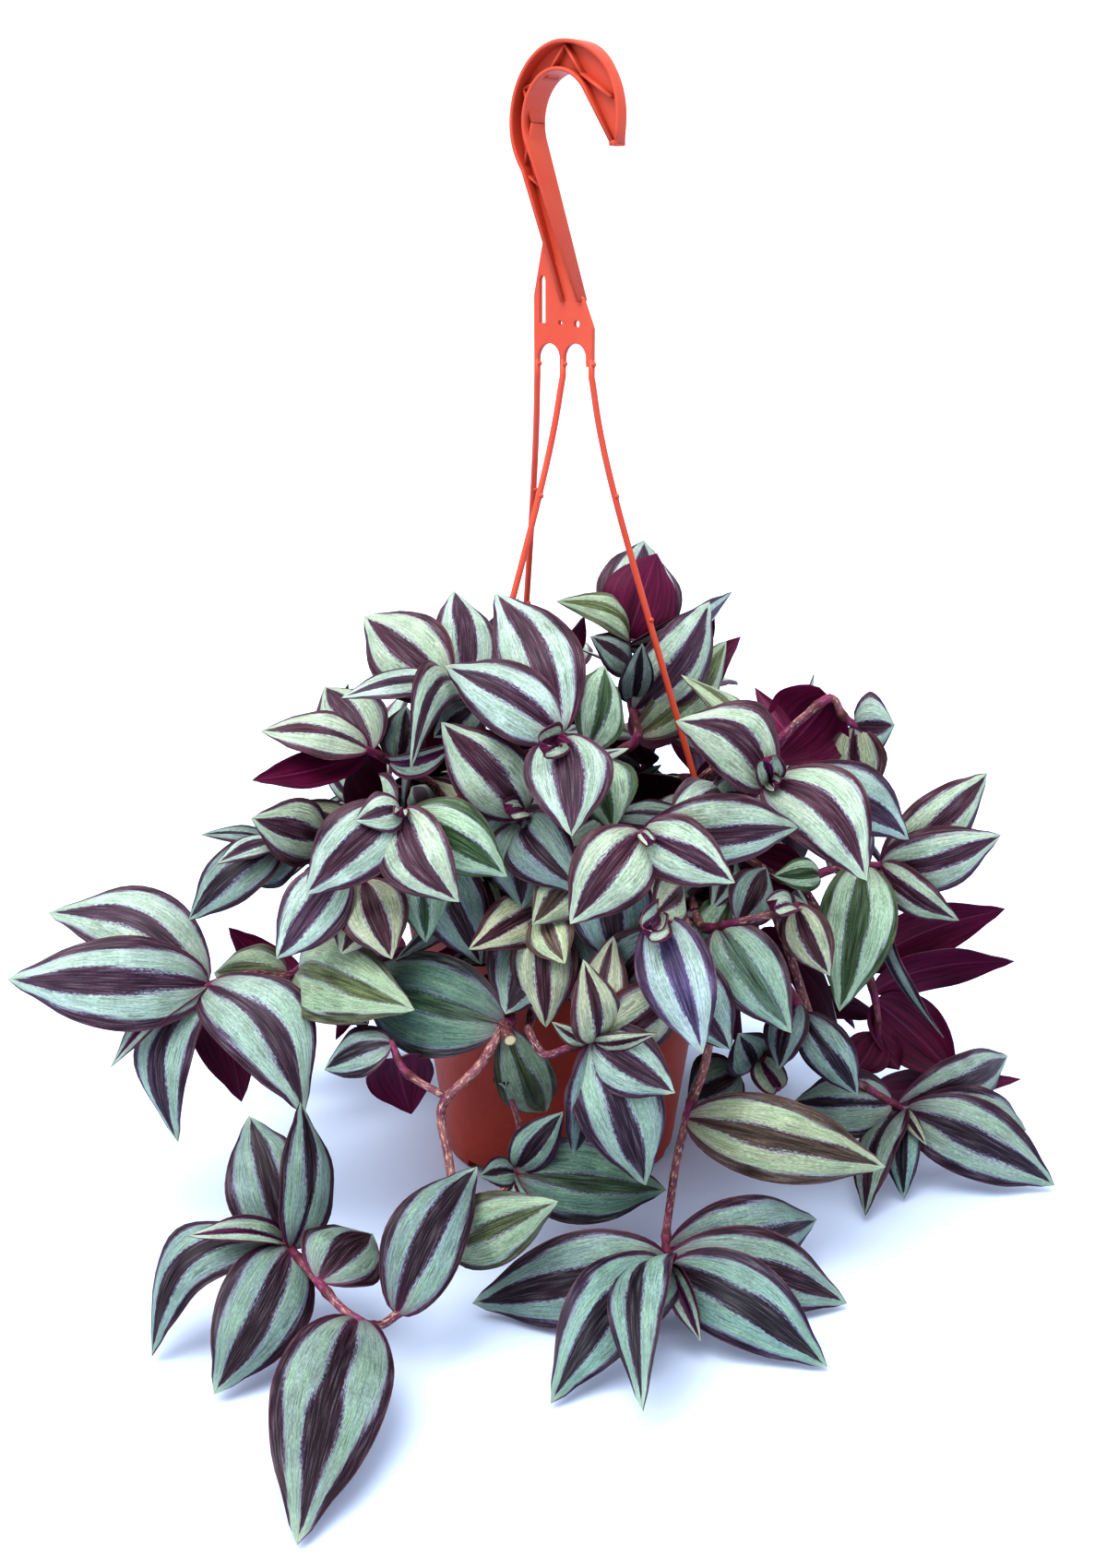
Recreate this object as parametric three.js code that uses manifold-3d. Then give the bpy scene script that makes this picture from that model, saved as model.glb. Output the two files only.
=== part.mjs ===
// Silver inch plant, Tradescantia zebrina, in a round plastic hanging pot with its hook hanger.
// Millimetres, +Z up. The origin is on the surface, below the middle of the pot, and X runs along
// the flat of the hook towards its open side. The pot stands, and the long stems lie on the surface.

import * as THREE from "three";
import { mergeVertices } from "three/addons/utils/BufferGeometryUtils.js";
import Module from "manifold-3d";

const wasm = await Module();
wasm.setup();
const { Manifold, Mesh: SolidMesh } = wasm;

const V = (x, y, z) => new THREE.Vector3(x, y, z);
const radians = THREE.MathUtils.degToRad;
const lerp = THREE.MathUtils.lerp;
const UP = V(0, 0, 1);
const GAP = 0.35;

// Pot
const POT = {
  height: 120,
  baseRadius: 49,
  topRadius: 66.5,
  lipRadius: 70,
  lipHeight: 8,
  wall: 1.5,
  floor: 2,
  foot: 1.2,
  segments: 32,
};
const NOTCH = { count: 6, height: 4, wide: 17, deep: 7, skin: 1.6, drain: 5 };

// Soil
const SOIL = { top: 110, lump: 1.6, rings: 3, segments: 16, holeSides: 4, rootDepth: 14 };

// Hanger
const HOOK = {
  centre: [5, 430],
  outsideX: 26,
  outsideZ: 29,
  insideX: 16.6,
  insideZ: 18.6,
  web: 1.6,
  flange: 1.7,
  depth: 13,
  endDepth: 5.2,
  tip: [30.2, 420],
  heel: [2.6, 361.5],
  throat: [11.4, 361.5],
};
// Rib that zigzags between the hook's edges, as [x, z]
const RIB = {
  line: [
    [28.6, 437], [13.6, 446.4], [5, 457.8], [-4.4, 446.6],
    [-16.6, 443], [-12, 430], [-17.2, 411.5], [-8.2, 406],
  ],
  depth: 7.8,
  thick: 1.3,
};
const PLATE = { left: -13.6, right: 17.6, top: 384, shoulder: 351, bottom: 336, thick: 2 };
const ARCH = { width: 11.8, top: 345, lefts: [-11.5, 2.5] };
const SLOT = { x: -9, bottom: 353, height: 18.5, width: 3.2 };
const PIN_HOLES = [
  { x: 0.6, z: 353, radius: 1 },
  { x: 9.4, z: 352.6, radius: 1.5 },
];
const LEG = {
  radius: 1.35,
  sides: 5,
  starts: [-12.6, 1.3, 16.6],
  azimuths: [150, -95, 27],
  bow: -3.4,
  bowAt: 0.25,
  nubs: [337, 285, 235],
  nubRadius: 1.5,
  nubOut: 0.9,
};

// The direction that the plant is looked at from, and how far off the eye is.
const VIEW = {
  azimuth: radians(42),
  tilt: radians(13.7),
  eye: V(-2.8, -810, 360),
  focal: 2130,
  middle: [600, 850],
};

// Blade of a leaf
const BLADE = {
  half: 0.5,
  edgeDroop: 0.16,
  baseFold: 0.5,
  foldReach: 0.12,
  arch: 0.14,
  rise: 0.6,
  fall: 0.9,
  lowest: 0.6,
};
const WIDEST = BLADE.rise / (BLADE.rise + BLADE.fall);
const FULL = WIDEST ** BLADE.rise * (1 - WIDEST) ** BLADE.fall;

// Shares of a leaf's length at which its section is set, by the least width that they are for
const STATIONS = [
  { from: 26, at: [0.1, 0.34, 0.62, 0.85] },
  { from: 14, at: [0.14, 0.46, 0.8] },
  { from: 0, at: [0.18, 0.62] },
];
const FINEST_HIDDEN = 25;

// Where a leaf would cross another stem's leaf it is bent to the first of these that is clear.
const SHIFTS = [0, 7, -7, 14, -14, 21, -21, 30, -30];
const SHRINKS = [1, 0.86, 0.72];
const ARCHES = [0, 0.1, -0.1];
const CLEARANCE = 0.45;
const OWN_OVERLAP = 8;

const TONES = {
  silver: 0x93aa9a,
  shade: 0x5c7470,
  green: 0x6f9060,
  yellow: 0xa8aa76,
  pale: 0xa39c80,
  young: 0x8d5f72,
  under: 0x6e1b45,
};

// Stems seen from the front. A root is [right, forward] on the soil, a rise is
// [right, forward, up] in millimetres, and a stem or twig point is [column, row, forward], its place
// in the view with its distance in front of the pot's axis.
// A leaf is [column, row] where it leaves its stem, [column, row, forward] of its tip, its width,
// its turn away from the view in degrees, its tone and, where it isn't the usual one, its arch.
const FRONT_STEMS = [
  {
    name: "stem_crown_front",
    root: [18, 22],
    rise: [[22, 42, 150]],
    stem: [[662, 850, 70], [636, 812, 88], [603, 797, 103]],
    leaves: [
      [612, 775, 537, 643, 66, 33, 0, "silver"],
      [598, 792, 482, 722, 86, 28, 8, "silver"],
      [610, 797, 620, 907, 132, 33, 0, "silver"],
      [602, 797, 555, 825, 122, 15, -10, "young", 0.22],
      [636, 812, 655, 722, 60, 24, 30, "green"],
      [650, 830, 665, 900, 104, 26, 10, "silver"],
      [601, 799, 590, 792, 116, 6, 0, "young"],
    ],
  },
  {
    name: "stem_front_high",
    root: [2, 26],
    rise: [[6, 60, 140]],
    stem: [[642, 935, 104], [665, 912, 120], [700, 903, 133]],
    leaves: [
      [702, 895, 865, 897, 118, 29, 20, "silver", 0.2],
      [695, 905, 618, 1002, 152, 30, 0, "silver"],
      [705, 910, 797, 957, 152, 25, 12, "silver"],
      [704, 908, 720, 933, 144, 6, 0, "young"],
      [648, 925, 577, 1003, 122, 25, 0, "yellow"],
      [655, 925, 672, 1052, 112, 32, 0, "shade"],
    ],
  },
  {
    name: "stem_front_mid",
    root: [20, 40],
    rise: [[26, 66, 132]],
    stem: [[722, 1035, 112], [714, 1000, 132], [711, 988, 141]],
    leaves: [
      [720, 995, 762, 1142, 160, 28, 0, "silver"],
      [710, 985, 672, 1022, 156, 17, -20, "young", 0.24],
      [713, 992, 700, 1030, 154, 12, 10, "young"],
      [722, 1032, 792, 1138, 112, 28, 10, "silver"],
      [718, 1010, 650, 1098, 110, 27, 0, "shade"],
      [712, 985, 740, 960, 122, 20, 20, "pale"],
    ],
  },
  {
    name: "stem_left_front",
    root: [-30, 30],
    rise: [[-42, 58, 145]],
    stem: [[462, 925, 88], [446, 895, 103], [432, 878, 112]],
    leaves: [
      [425, 885, 332, 970, 124, 29, 8, "silver"],
      [435, 882, 498, 978, 136, 28, 8, "silver"],
      [452, 880, 550, 950, 120, 28, 12, "green"],
      [436, 875, 385, 890, 122, 17, 20, "silver", 0.24],
      [433, 880, 428, 900, 128, 7, 0, "young"],
      [458, 912, 462, 1022, 104, 24, 0, "green"],
      [462, 922, 522, 1046, 102, 28, 0, "shade"],
    ],
  },
  {
    name: "stem_right_high",
    root: [28, 6],
    rise: [[42, 28, 160]],
    stem: [[800, 866, 68], [822, 856, 82], [836, 846, 92]],
    leaves: [
      [830, 845, 732, 782, 92, 31, 5, "silver"],
      [838, 850, 940, 955, 118, 33, 0, "silver"],
      [842, 842, 985, 910, 80, 29, 15, "silver"],
      [836, 842, 820, 800, 100, 14, 10, "young"],
      [820, 850, 738, 732, 58, 20, 50, "yellow", 0.24],
      [838, 848, 856, 862, 104, 9, 0, "young"],
      [806, 862, 770, 870, 82, 24, 20, "shade"],
    ],
  },
  {
    name: "stem_left_high",
    root: [-22, 5],
    rise: [[-30, 22, 160]],
    stem: [[520, 776, 54], [500, 752, 66], [484, 745, 76]],
    leaves: [
      [484, 742, 395, 668, 52, 33, 0, "silver"],
      [478, 746, 370, 757, 92, 15, 40, "silver"],
      [502, 752, 492, 641, 28, 26, 15, "silver"],
      [490, 752, 445, 835, 108, 20, -35, "silver", 0.28],
      [484, 748, 460, 742, 88, 8, 0, "young"],
      [512, 770, 470, 800, 74, 18, 10, "shade"],
    ],
  },
  {
    name: "stem_front_low",
    root: [2, 48],
    rise: [[-2, 66, 128], [-6, 84, 126]],
    stem: [[576, 1098, 108], [574, 1118, 120], [590, 1143, 129], [614, 1137, 134], [648, 1127, 140]],
    leaves: [
      [650, 1128, 700, 1285, 150, 33, 0, "silver"],
      [656, 1126, 732, 1185, 150, 26, 10, "silver"],
      [655, 1126, 712, 1120, 150, 8, 30, "pale"],
      [642, 1130, 622, 1252, 140, 26, -48, "shade"],
      [645, 1122, 665, 1015, 124, 22, -20, "yellow"],
      [650, 1124, 740, 1060, 130, 27, 20, "yellow"],
      [638, 1128, 598, 1108, 146, 9, -30, "pale"],
      [646, 1124, 632, 1040, 118, 20, 20, "pale"],
    ],
  },
  {
    name: "stem_front_runner",
    root: [-18, 46],
    rise: [[-20, 64, 129], [-21, 82, 131]],
    stem: [
      [553, 1100, 117], [546, 1112, 123], [520, 1155, 129], [485, 1190, 132], [478, 1212, 134],
      [487, 1260, 140], [493, 1320, 150], [480, 1370, 167], [443, 1413, 190], [408, 1438, 205],
      [375, 1422, 203], [345, 1390, 190], [322, 1362, 176], [306, 1346, 166],
    ],
    twigs: [
      [[485, 1190, 132], [440, 1162, 129], [424, 1128, 122]],
      [[487, 1345, 159], [528, 1308, 138], [558, 1272, 118], [563, 1222, 110], [541, 1158, 110]],
      [[547, 1112, 123], [553, 1128, 132]],
    ],
    leaves: [
      [305, 1345, 165, 1470, 190, 26, 30, "shade", 0.26],
      [315, 1355, 232, 1512, 211, 33, 0, "shade"],
      [385, 1435, 322, 1675, 292, 38, 0, "shade", 0.1],
      [318, 1352, 325, 1195, 140, 27, 42, "shade"],
      [310, 1345, 270, 1210, 142, 32, 0, "shade"],
      [305, 1342, 203, 1340, 185, 13, 30, "young"],
      [345, 1388, 404, 1338, 158, 32, -20, "shade"],
      [425, 1422, 517, 1265, 160, 29, 5, "shade"],
      [488, 1352, 605, 1302, 172, 27, 5, "yellow"],
      [546, 1108, 388, 1056, 72, 40, 0, "shade"],
      [425, 1130, 352, 1160, 118, 21, 30, "pale"],
      [430, 1150, 446, 1208, 108, 26, 180, "under"],
      [546, 1112, 592, 1205, 82, 23, 0, "green"],
      [560, 1268, 610, 1205, 118, 18, 10, "silver"],
      [558, 1275, 520, 1275, 128, 13, 20, "shade"],
      [560, 1272, 610, 1335, 134, 11, 30, "young", 0.24],
      [541, 1160, 548, 1180, 120, 7, 0, "shade"],
      [566, 1275, 722, 1290, 112, 33, 0, "shade", 0.08],
    ],
  },
  {
    name: "stem_front_floor",
    root: [30, 42],
    rise: [[42, 66, 131], [48, 82, 128]],
    stem: [
      [770, 1080, 98], [765, 1150, 104], [748, 1200, 112], [735, 1250, 122], [727, 1300, 134],
      [722, 1345, 150], [727, 1378, 166],
    ],
    leaves: [
      [718, 1370, 512, 1413, 151, 34, 0, "shade"],
      [727, 1380, 597, 1522, 214, 31, 0, "silver"],
      [728, 1385, 697, 1530, 219, 24, 35, "silver"],
      [730, 1385, 760, 1455, 196, 12, 10, "young"],
      [732, 1378, 897, 1482, 196, 31, 0, "silver"],
      [728, 1365, 918, 1413, 152, 30, 0, "shade"],
      [725, 1352, 885, 1322, 112, 31, 5, "shade"],
      [745, 1215, 960, 1265, 122, 32, 0, "yellow", 0.18],
    ],
  },
  {
    name: "stem_left_spray",
    root: [-50, 20],
    rise: [[-70, 34, 131], [-90, 48, 128]],
    stem: [[325, 1052, 66], [270, 1056, 75], [220, 1070, 83]],
    leaves: [
      [218, 1068, 8, 1062, 98, 37, 5, "silver"],
      [222, 1062, 52, 990, 60, 34, 15, "silver"],
      [214, 1075, 120, 1157, 104, 13, 25, "young"],
      [222, 1070, 193, 1238, 100, 28, 35, "silver"],
      [226, 1068, 330, 1208, 114, 37, 0, "silver"],
      [228, 1072, 262, 1195, 70, 28, 180, "under"],
      [322, 1052, 450, 1095, 132, 36, 0, "yellow"],
      [312, 1050, 232, 1055, 54, 24, 20, "shade"],
      [340, 1052, 400, 1110, 46, 24, 10, "shade"],
    ],
  },
  {
    name: "stem_right_arm",
    root: [44, 16],
    rise: [[66, 38, 143]],
    stem: [[855, 955, 58], [905, 942, 57], [962, 938, 54]],
    leaves: [
      [965, 925, 1070, 838, 34, 27, 20, "silver"],
      [968, 938, 1085, 905, 62, 28, 20, "silver"],
      [966, 942, 1040, 998, 78, 18, 20, "silver"],
      [935, 942, 910, 1097, 92, 31, 0, "green"],
      [962, 942, 1023, 1125, 62, 20, 70, "silver"],
      [885, 945, 838, 950, 74, 14, 10, "green"],
      [870, 950, 800, 925, 44, 22, 180, "under"],
      [900, 942, 940, 880, 30, 24, 20, "shade"],
    ],
  },
  {
    name: "stem_right_runner",
    root: [36, 34],
    rise: [[50, 58, 131]],
    stem: [[762, 1005, 90], [800, 1000, 100], [840, 990, 102], [866, 982, 100]],
    leaves: [
      [778, 1003, 858, 1120, 134, 28, 0, "shade"],
      [858, 985, 808, 1005, 120, 13, 20, "young", 0.24],
      [864, 985, 900, 1058, 112, 19, 10, "pale"],
      [862, 985, 878, 1035, 96, 17, 10, "silver"],
      [800, 1000, 830, 940, 80, 22, 20, "shade"],
    ],
  },
  {
    name: "stem_right_floor",
    root: [46, 26],
    rise: [[68, 36, 130], [86, 44, 121]],
    stem: [[885, 1120, 52], [912, 1160, 50], [945, 1183, 46], [985, 1206, 42]],
    leaves: [
      [988, 1210, 1143, 1285, 48, 33, 0, "silver"],
      [985, 1198, 1112, 1225, 14, 30, 12, "silver"],
      [980, 1205, 938, 1318, 70, 21, 40, "shade"],
      [985, 1212, 980, 1300, 64, 16, 10, "silver"],
      [968, 1192, 860, 1195, 40, 29, 0, "shade"],
      [972, 1196, 1092, 1145, -12, 26, 20, "shade"],
      [950, 1186, 1107, 1170, -8, 18, 180, "under"],
      [987, 1212, 1005, 1242, 56, 7, 0, "pale"],
    ],
  },
  {
    name: "stem_right_low",
    root: [50, -6],
    rise: [[72, -2, 132], [92, 2, 133]],
    stem: [[905, 1015, 14], [938, 1052, 16], [950, 1090, 16], [952, 1125, 14]],
    leaves: [
      [935, 1048, 1090, 985, 16, 25, 200, "under"],
      [948, 1075, 1100, 1042, 26, 22, 220, "under"],
      [946, 1088, 1040, 1170, 30, 30, 180, "under"],
      [950, 1120, 975, 1160, 20, 16, 170, "under"],
      [951, 1120, 925, 1165, 20, 20, 180, "under"],
      [915, 1025, 890, 1000, 22, 26, 10, "shade"],
    ],
  },
  {
    name: "stem_crown_top",
    root: [10, -8],
    rise: [[16, 4, 168]],
    stem: [[690, 802, 12], [684, 760, 6], [680, 716, 0], [680, 690, -4]],
    leaves: [
      [678, 694, 698, 586, -34, 38, 12, "silver"],
      [680, 690, 712, 600, -18, 33, 10, "under"],
      [678, 690, 603, 652, 16, 18, 40, "yellow", 0.24],
      [682, 700, 793, 642, -40, 20, 50, "silver"],
      [684, 770, 769, 652, -14, 31, 20, "silver"],
      [690, 795, 787, 695, -24, 24, 20, "silver"],
      [680, 720, 640, 690, 20, 18, 30, "shade"],
      [686, 762, 696, 697, 14, 15, 20, "shade"],
      [690, 800, 803, 690, -44, 26, 180, "under"],
    ],
  },
  {
    name: "stem_right_twig",
    root: [40, -6],
    rise: [[58, 8, 165]],
    stem: [[828, 816, 48], [866, 782, 52], [900, 757, 48], [914, 777, 46], [930, 788, 46]],
    leaves: [
      [900, 757, 836, 828, 40, 36, 180, "under"],
      [926, 785, 970, 786, 50, 27, 10, "silver"],
      [930, 790, 938, 864, 44, 25, 20, "pale"],
      [852, 795, 818, 745, 30, 9, 180, "under"],
    ],
  },
  {
    name: "stem_left_upper",
    root: [-38, -4],
    rise: [[-50, 12, 160]],
    stem: [[445, 838, 44], [418, 822, 54], [396, 812, 60]],
    leaves: [
      [402, 815, 352, 745, 34, 29, 10, "silver"],
      [398, 811, 283, 793, 62, 24, 40, "silver"],
      [397, 807, 273, 846, 80, 17, 208, "under"],
      [420, 824, 495, 806, 66, 15, 30, "young"],
      [432, 830, 440, 765, 40, 20, 20, "shade"],
    ],
  },
  {
    name: "stem_left_side",
    root: [-48, 8],
    rise: [[-70, 20, 148]],
    stem: [[385, 912, 62], [340, 912, 70], [300, 918, 72]],
    leaves: [
      [350, 908, 272, 887, 88, 27, 5, "silver"],
      [385, 905, 305, 875, 70, 18, 20, "pale"],
      [298, 916, 218, 905, 78, 10, 40, "shade"],
      [300, 918, 235, 937, 88, 12, 40, "silver"],
      [305, 925, 205, 998, 84, 25, 30, "shade"],
      [330, 915, 262, 950, 60, 24, 20, "shade"],
    ],
  },
  {
    name: "stem_left_low",
    root: [-35, 40],
    rise: [[-52, 66, 138]],
    stem: [[412, 965, 94], [388, 950, 100], [370, 942, 102]],
    leaves: [
      [372, 945, 300, 1040, 116, 26, 10, "silver"],
      [395, 955, 425, 1040, 120, 27, 0, "pale"],
      [410, 962, 370, 1035, 98, 26, 10, "yellow"],
      [372, 942, 330, 1000, 88, 24, 20, "shade"],
    ],
  },
  {
    name: "stem_middle",
    root: [-12, 30],
    rise: [[-14, 54, 140]],
    stem: [[575, 910, 84], [567, 876, 96]],
    leaves: [
      [565, 872, 478, 783, 88, 30, 5, "silver"],
      [568, 880, 528, 890, 112, 12, 20, "young"],
      [572, 890, 566, 985, 106, 30, 0, "shade"],
      [574, 895, 632, 968, 100, 28, 10, "shade"],
      [570, 885, 508, 972, 98, 30, 10, "shade"],
    ],
  },
  {
    name: "stem_front_upper",
    root: [-12, 38],
    rise: [[-16, 62, 138]],
    stem: [[592, 1000, 100], [588, 988, 112]],
    leaves: [
      [586, 988, 508, 1030, 130, 22, 10, "pale"],
      [590, 992, 613, 1045, 130, 20, 10, "yellow"],
      [590, 995, 592, 1114, 122, 26, 10, "pale"],
      [592, 1000, 548, 1100, 112, 34, 0, "shade"],
      [592, 998, 640, 1092, 114, 30, 0, "shade"],
    ],
  },
  {
    name: "stem_right_front_low",
    root: [44, 34],
    rise: [[60, 52, 131], [73, 66, 122]],
    stem: [[862, 1085, 88], [868, 1102, 90], [848, 1130, 88], [822, 1152, 84], [795, 1166, 80]],
    leaves: [
      [868, 1098, 930, 1187, 96, 20, 10, "shade"],
      [825, 1150, 858, 1200, 100, 16, 10, "young"],
      [800, 1162, 745, 1195, 84, 28, 10, "shade"],
      [862, 1090, 845, 1160, 104, 18, 20, "shade"],
      [815, 1155, 800, 1120, 92, 22, 20, "shade"],
    ],
  },
];

// Stems that the view hides, set in rings: bearing counts anticlockwise from the viewer's right, so
// 90 is straight behind. Reach and level place the leafy end, and tilt is its slope above level.
const RINGS = [
  { name: "stem_back_high", bearings: [42, 86, 132], root: 25, reach: 66, level: 200, tilt: 62 },
  { name: "stem_back_mid", bearings: [14, 48, 82, 122, 152], root: 44, reach: 124, level: 150, tilt: 22 },
  { name: "stem_back_low", bearings: [30, 66, 90, 124, 158], root: 54, reach: 142, level: 48, tilt: -12 },
  { name: "stem_side", bearings: [-12, 190], root: 36, reach: 84, level: 160, tilt: 26 },
  { name: "stem_inner", bearings: [-128], root: 14, reach: 34, level: 150, tilt: 40 },
];
const RING_LEAVES = {
  count: 7,
  long: 70,
  short: 26,
  ratio: 2.2,
  spread: 84,
  close: 34,
  golden: 137.5,
  sag: 0.2,
  from: 0.62,
  floor: 3,
};
const STEM = { thick: 2.1, thin: 1.4, sides: 4, steps: 2, seats: 4 };

// A repeatable draw between 0 and 1
function draw(seed) {
  const wave = Math.sin(seed * 12.9898 + 4.1414) * 43758.5453;
  return wave - Math.floor(wave);
}

// From [right, forward, up] as the viewer sees them to the part's own axes
function turned(right, forward, up) {
  const c = Math.cos(VIEW.azimuth);
  const s = Math.sin(VIEW.azimuth);
  return V(right * c + forward * s, right * s - forward * c, up);
}

// The point at one place in the view, a given distance in front of the pot's axis
function seen(column, row, forward) {
  const across = (column - VIEW.middle[0]) / VIEW.focal;
  const rise = (VIEW.middle[1] - row) / VIEW.focal;
  const away = rise * Math.sin(VIEW.tilt) + Math.cos(VIEW.tilt);
  const climb = rise * Math.cos(VIEW.tilt) - Math.sin(VIEW.tilt);
  const reach = (-forward - VIEW.eye.y) / away;
  return turned(VIEW.eye.x + across * reach, forward, VIEW.eye.z + climb * reach);
}

// The place in the view of a point
function placeInView(point) {
  const c = Math.cos(VIEW.azimuth);
  const s = Math.sin(VIEW.azimuth);
  const across = point.x * c + point.y * s - VIEW.eye.x;
  const away = -point.x * s + point.y * c - VIEW.eye.y;
  const climb = point.z - VIEW.eye.z;
  const depth = away * Math.cos(VIEW.tilt) - climb * Math.sin(VIEW.tilt);
  const height = away * Math.sin(VIEW.tilt) + climb * Math.cos(VIEW.tilt);
  return [
    VIEW.middle[0] + (VIEW.focal * across) / depth,
    VIEW.middle[1] - (VIEW.focal * height) / depth,
  ];
}

const EYE = turned(VIEW.eye.x, -VIEW.eye.y, VIEW.eye.z);

// Smooth line through points, with a number of steps between each two
function smooth(points, steps) {
  const line = [];
  for (let i = 0; i < points.length - 1; i++) {
    const p1 = points[i];
    const p2 = points[i + 1];
    const p0 = points[i - 1] ?? p1;
    const p3 = points[i + 2] ?? p2;
    for (let k = 0; k < steps; k++) {
      const u = k / steps;
      const at = (a, b, c, d) =>
        0.5 * (2 * b + (c - a) * u + (2 * a - 5 * b + 4 * c - d) * u * u + (3 * b - a - 3 * c + d) * u ** 3);
      line.push(V(at(p0.x, p1.x, p2.x, p3.x), at(p0.y, p1.y, p2.y, p3.y), at(p0.z, p1.z, p2.z, p3.z)));
    }
  }
  line.push(points[points.length - 1].clone());
  return line;
}

// Straight steps between the points of a line, up to the last one before its end
function stepped(line, steps) {
  const fine = [];
  for (let i = 0; i < line.length - 1; i++)
    for (let k = 0; k < steps; k++) fine.push(line[i].clone().lerp(line[i + 1], k / steps));
  return fine;
}

// Closed geometry from points and triangles
function shell(points, faces) {
  const geometry = new THREE.BufferGeometry();
  const flat = new Float32Array(points.flatMap((p) => [p.x, p.y, p.z]));
  geometry.setAttribute("position", new THREE.BufferAttribute(flat, 3));
  geometry.setIndex(faces.flat());
  return geometry;
}

// Solid for joins and cuts, from a closed geometry
function solid(geometry) {
  const bare = geometry.index ? geometry.toNonIndexed() : geometry.clone();
  bare.deleteAttribute("normal");
  bare.deleteAttribute("uv");
  const merged = mergeVertices(bare, 1e-4);
  const index = merged.index.array;
  const kept = [];
  for (let i = 0; i < index.length; i += 3) {
    const [a, b, c] = [index[i], index[i + 1], index[i + 2]];
    if (a !== b && b !== c && a !== c) kept.push(a, b, c);
  }
  const vertProperties = new Float32Array(merged.attributes.position.array);
  return new Manifold(new SolidMesh({ numProp: 3, vertProperties, triVerts: new Uint32Array(kept) }));
}

// One body of a solid: its loose scraps are dropped and its sealed hollows are filled.
function oneBody(whole) {
  return whole.decompose().reduce((most, body) => (body.volume() > most.volume() ? body : most));
}

// Round rod along a line, with flat ends
function rod(line, radii, sides) {
  const points = [];
  const faces = [];
  let across = Math.abs(line[1].clone().sub(line[0]).normalize().z) > 0.9 ? V(1, 0, 0) : V(0, 0, 1);
  line.forEach((p, i) => {
    const before = line[Math.max(i - 1, 0)];
    const after = line[Math.min(i + 1, line.length - 1)];
    const along = after.clone().sub(before).normalize();
    across = across.clone().addScaledVector(along, -across.dot(along)).normalize();
    const other = along.clone().cross(across);
    for (let k = 0; k < sides; k++) {
      const turn = (2 * Math.PI * k) / sides;
      const out = across.clone().multiplyScalar(Math.cos(turn)).addScaledVector(other, Math.sin(turn));
      points.push(p.clone().addScaledVector(out, radii[i]));
    }
  });
  for (let i = 0; i < line.length - 1; i++)
    for (let k = 0; k < sides; k++) {
      const a = i * sides + k;
      const b = i * sides + ((k + 1) % sides);
      faces.push([a, b, b + sides], [a, b + sides, a + sides]);
    }
  const last = (line.length - 1) * sides;
  for (let k = 1; k < sides - 1; k++) faces.push([0, k + 1, k], [last, last + k, last + k + 1]);
  return solid(shell(points, faces));
}

// Flat plate in the plane of the hook, made from an outline of [x, z] and its holes
function plate(outline, holes, thick) {
  const shape = new THREE.Shape(outline.map(([x, z]) => new THREE.Vector2(x, z)));
  shape.holes = holes.map((hole) => new THREE.Path(hole.map(([x, z]) => new THREE.Vector2(x, z))));
  const geometry = new THREE.ExtrudeGeometry(shape, { depth: thick, bevelEnabled: false });
  return solid(geometry.rotateX(Math.PI / 2).translate(0, thick / 2, 0));
}

// Strip that stands square to the plane of the hook and follows a line of [x, z, depth]
function strip(line, thick) {
  const points = [];
  const faces = [];
  line.forEach(([x, z, depth], i) => {
    const [ax, az] = line[Math.max(i - 1, 0)];
    const [bx, bz] = line[Math.min(i + 1, line.length - 1)];
    const side = new THREE.Vector2(bz - az, ax - bx).normalize().multiplyScalar(thick / 2);
    for (const [s, y] of [[-1, -1], [1, -1], [1, 1], [-1, 1]])
      points.push(V(x + s * side.x, (y * depth) / 2, z + s * side.y));
  });
  for (let i = 0; i < line.length - 1; i++)
    for (let k = 0; k < 4; k++) {
      const a = i * 4 + k;
      const b = i * 4 + ((k + 1) % 4);
      faces.push([a, b, b + 4], [a, b + 4, a + 4]);
    }
  const last = (line.length - 1) * 4;
  faces.push([0, 2, 1], [0, 3, 2], [last, last + 1, last + 2], [last, last + 2, last + 3]);
  return solid(shell(points, faces));
}

const round = (x, z, radius, sides) =>
  Array.from({ length: sides }, (_, k) => {
    const turn = (2 * Math.PI * k) / sides;
    return [x + radius * Math.cos(turn), z + radius * Math.sin(turn)];
  });

// Solid turned about the pot's axis from a profile of [radius, z]
function lathe(profile, segments) {
  const outline = profile.map(([r, z]) => new THREE.Vector2(r, z));
  return solid(new THREE.LatheGeometry(outline, segments).rotateX(Math.PI / 2));
}

const potRadiusAt = (z) => lerp(POT.baseRadius, POT.topRadius, z / (POT.height - POT.lipHeight));

// Box at a bearing round the pot's axis: its middle radius, its radial and round sizes, its foot and top
function wedge(degrees, radius, radial, wide, low, high) {
  const box = new THREE.BoxGeometry(radial, wide, high - low).translate(radius, 0, (low + high) / 2);
  return solid(box.rotateZ(radians(degrees)));
}

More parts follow.
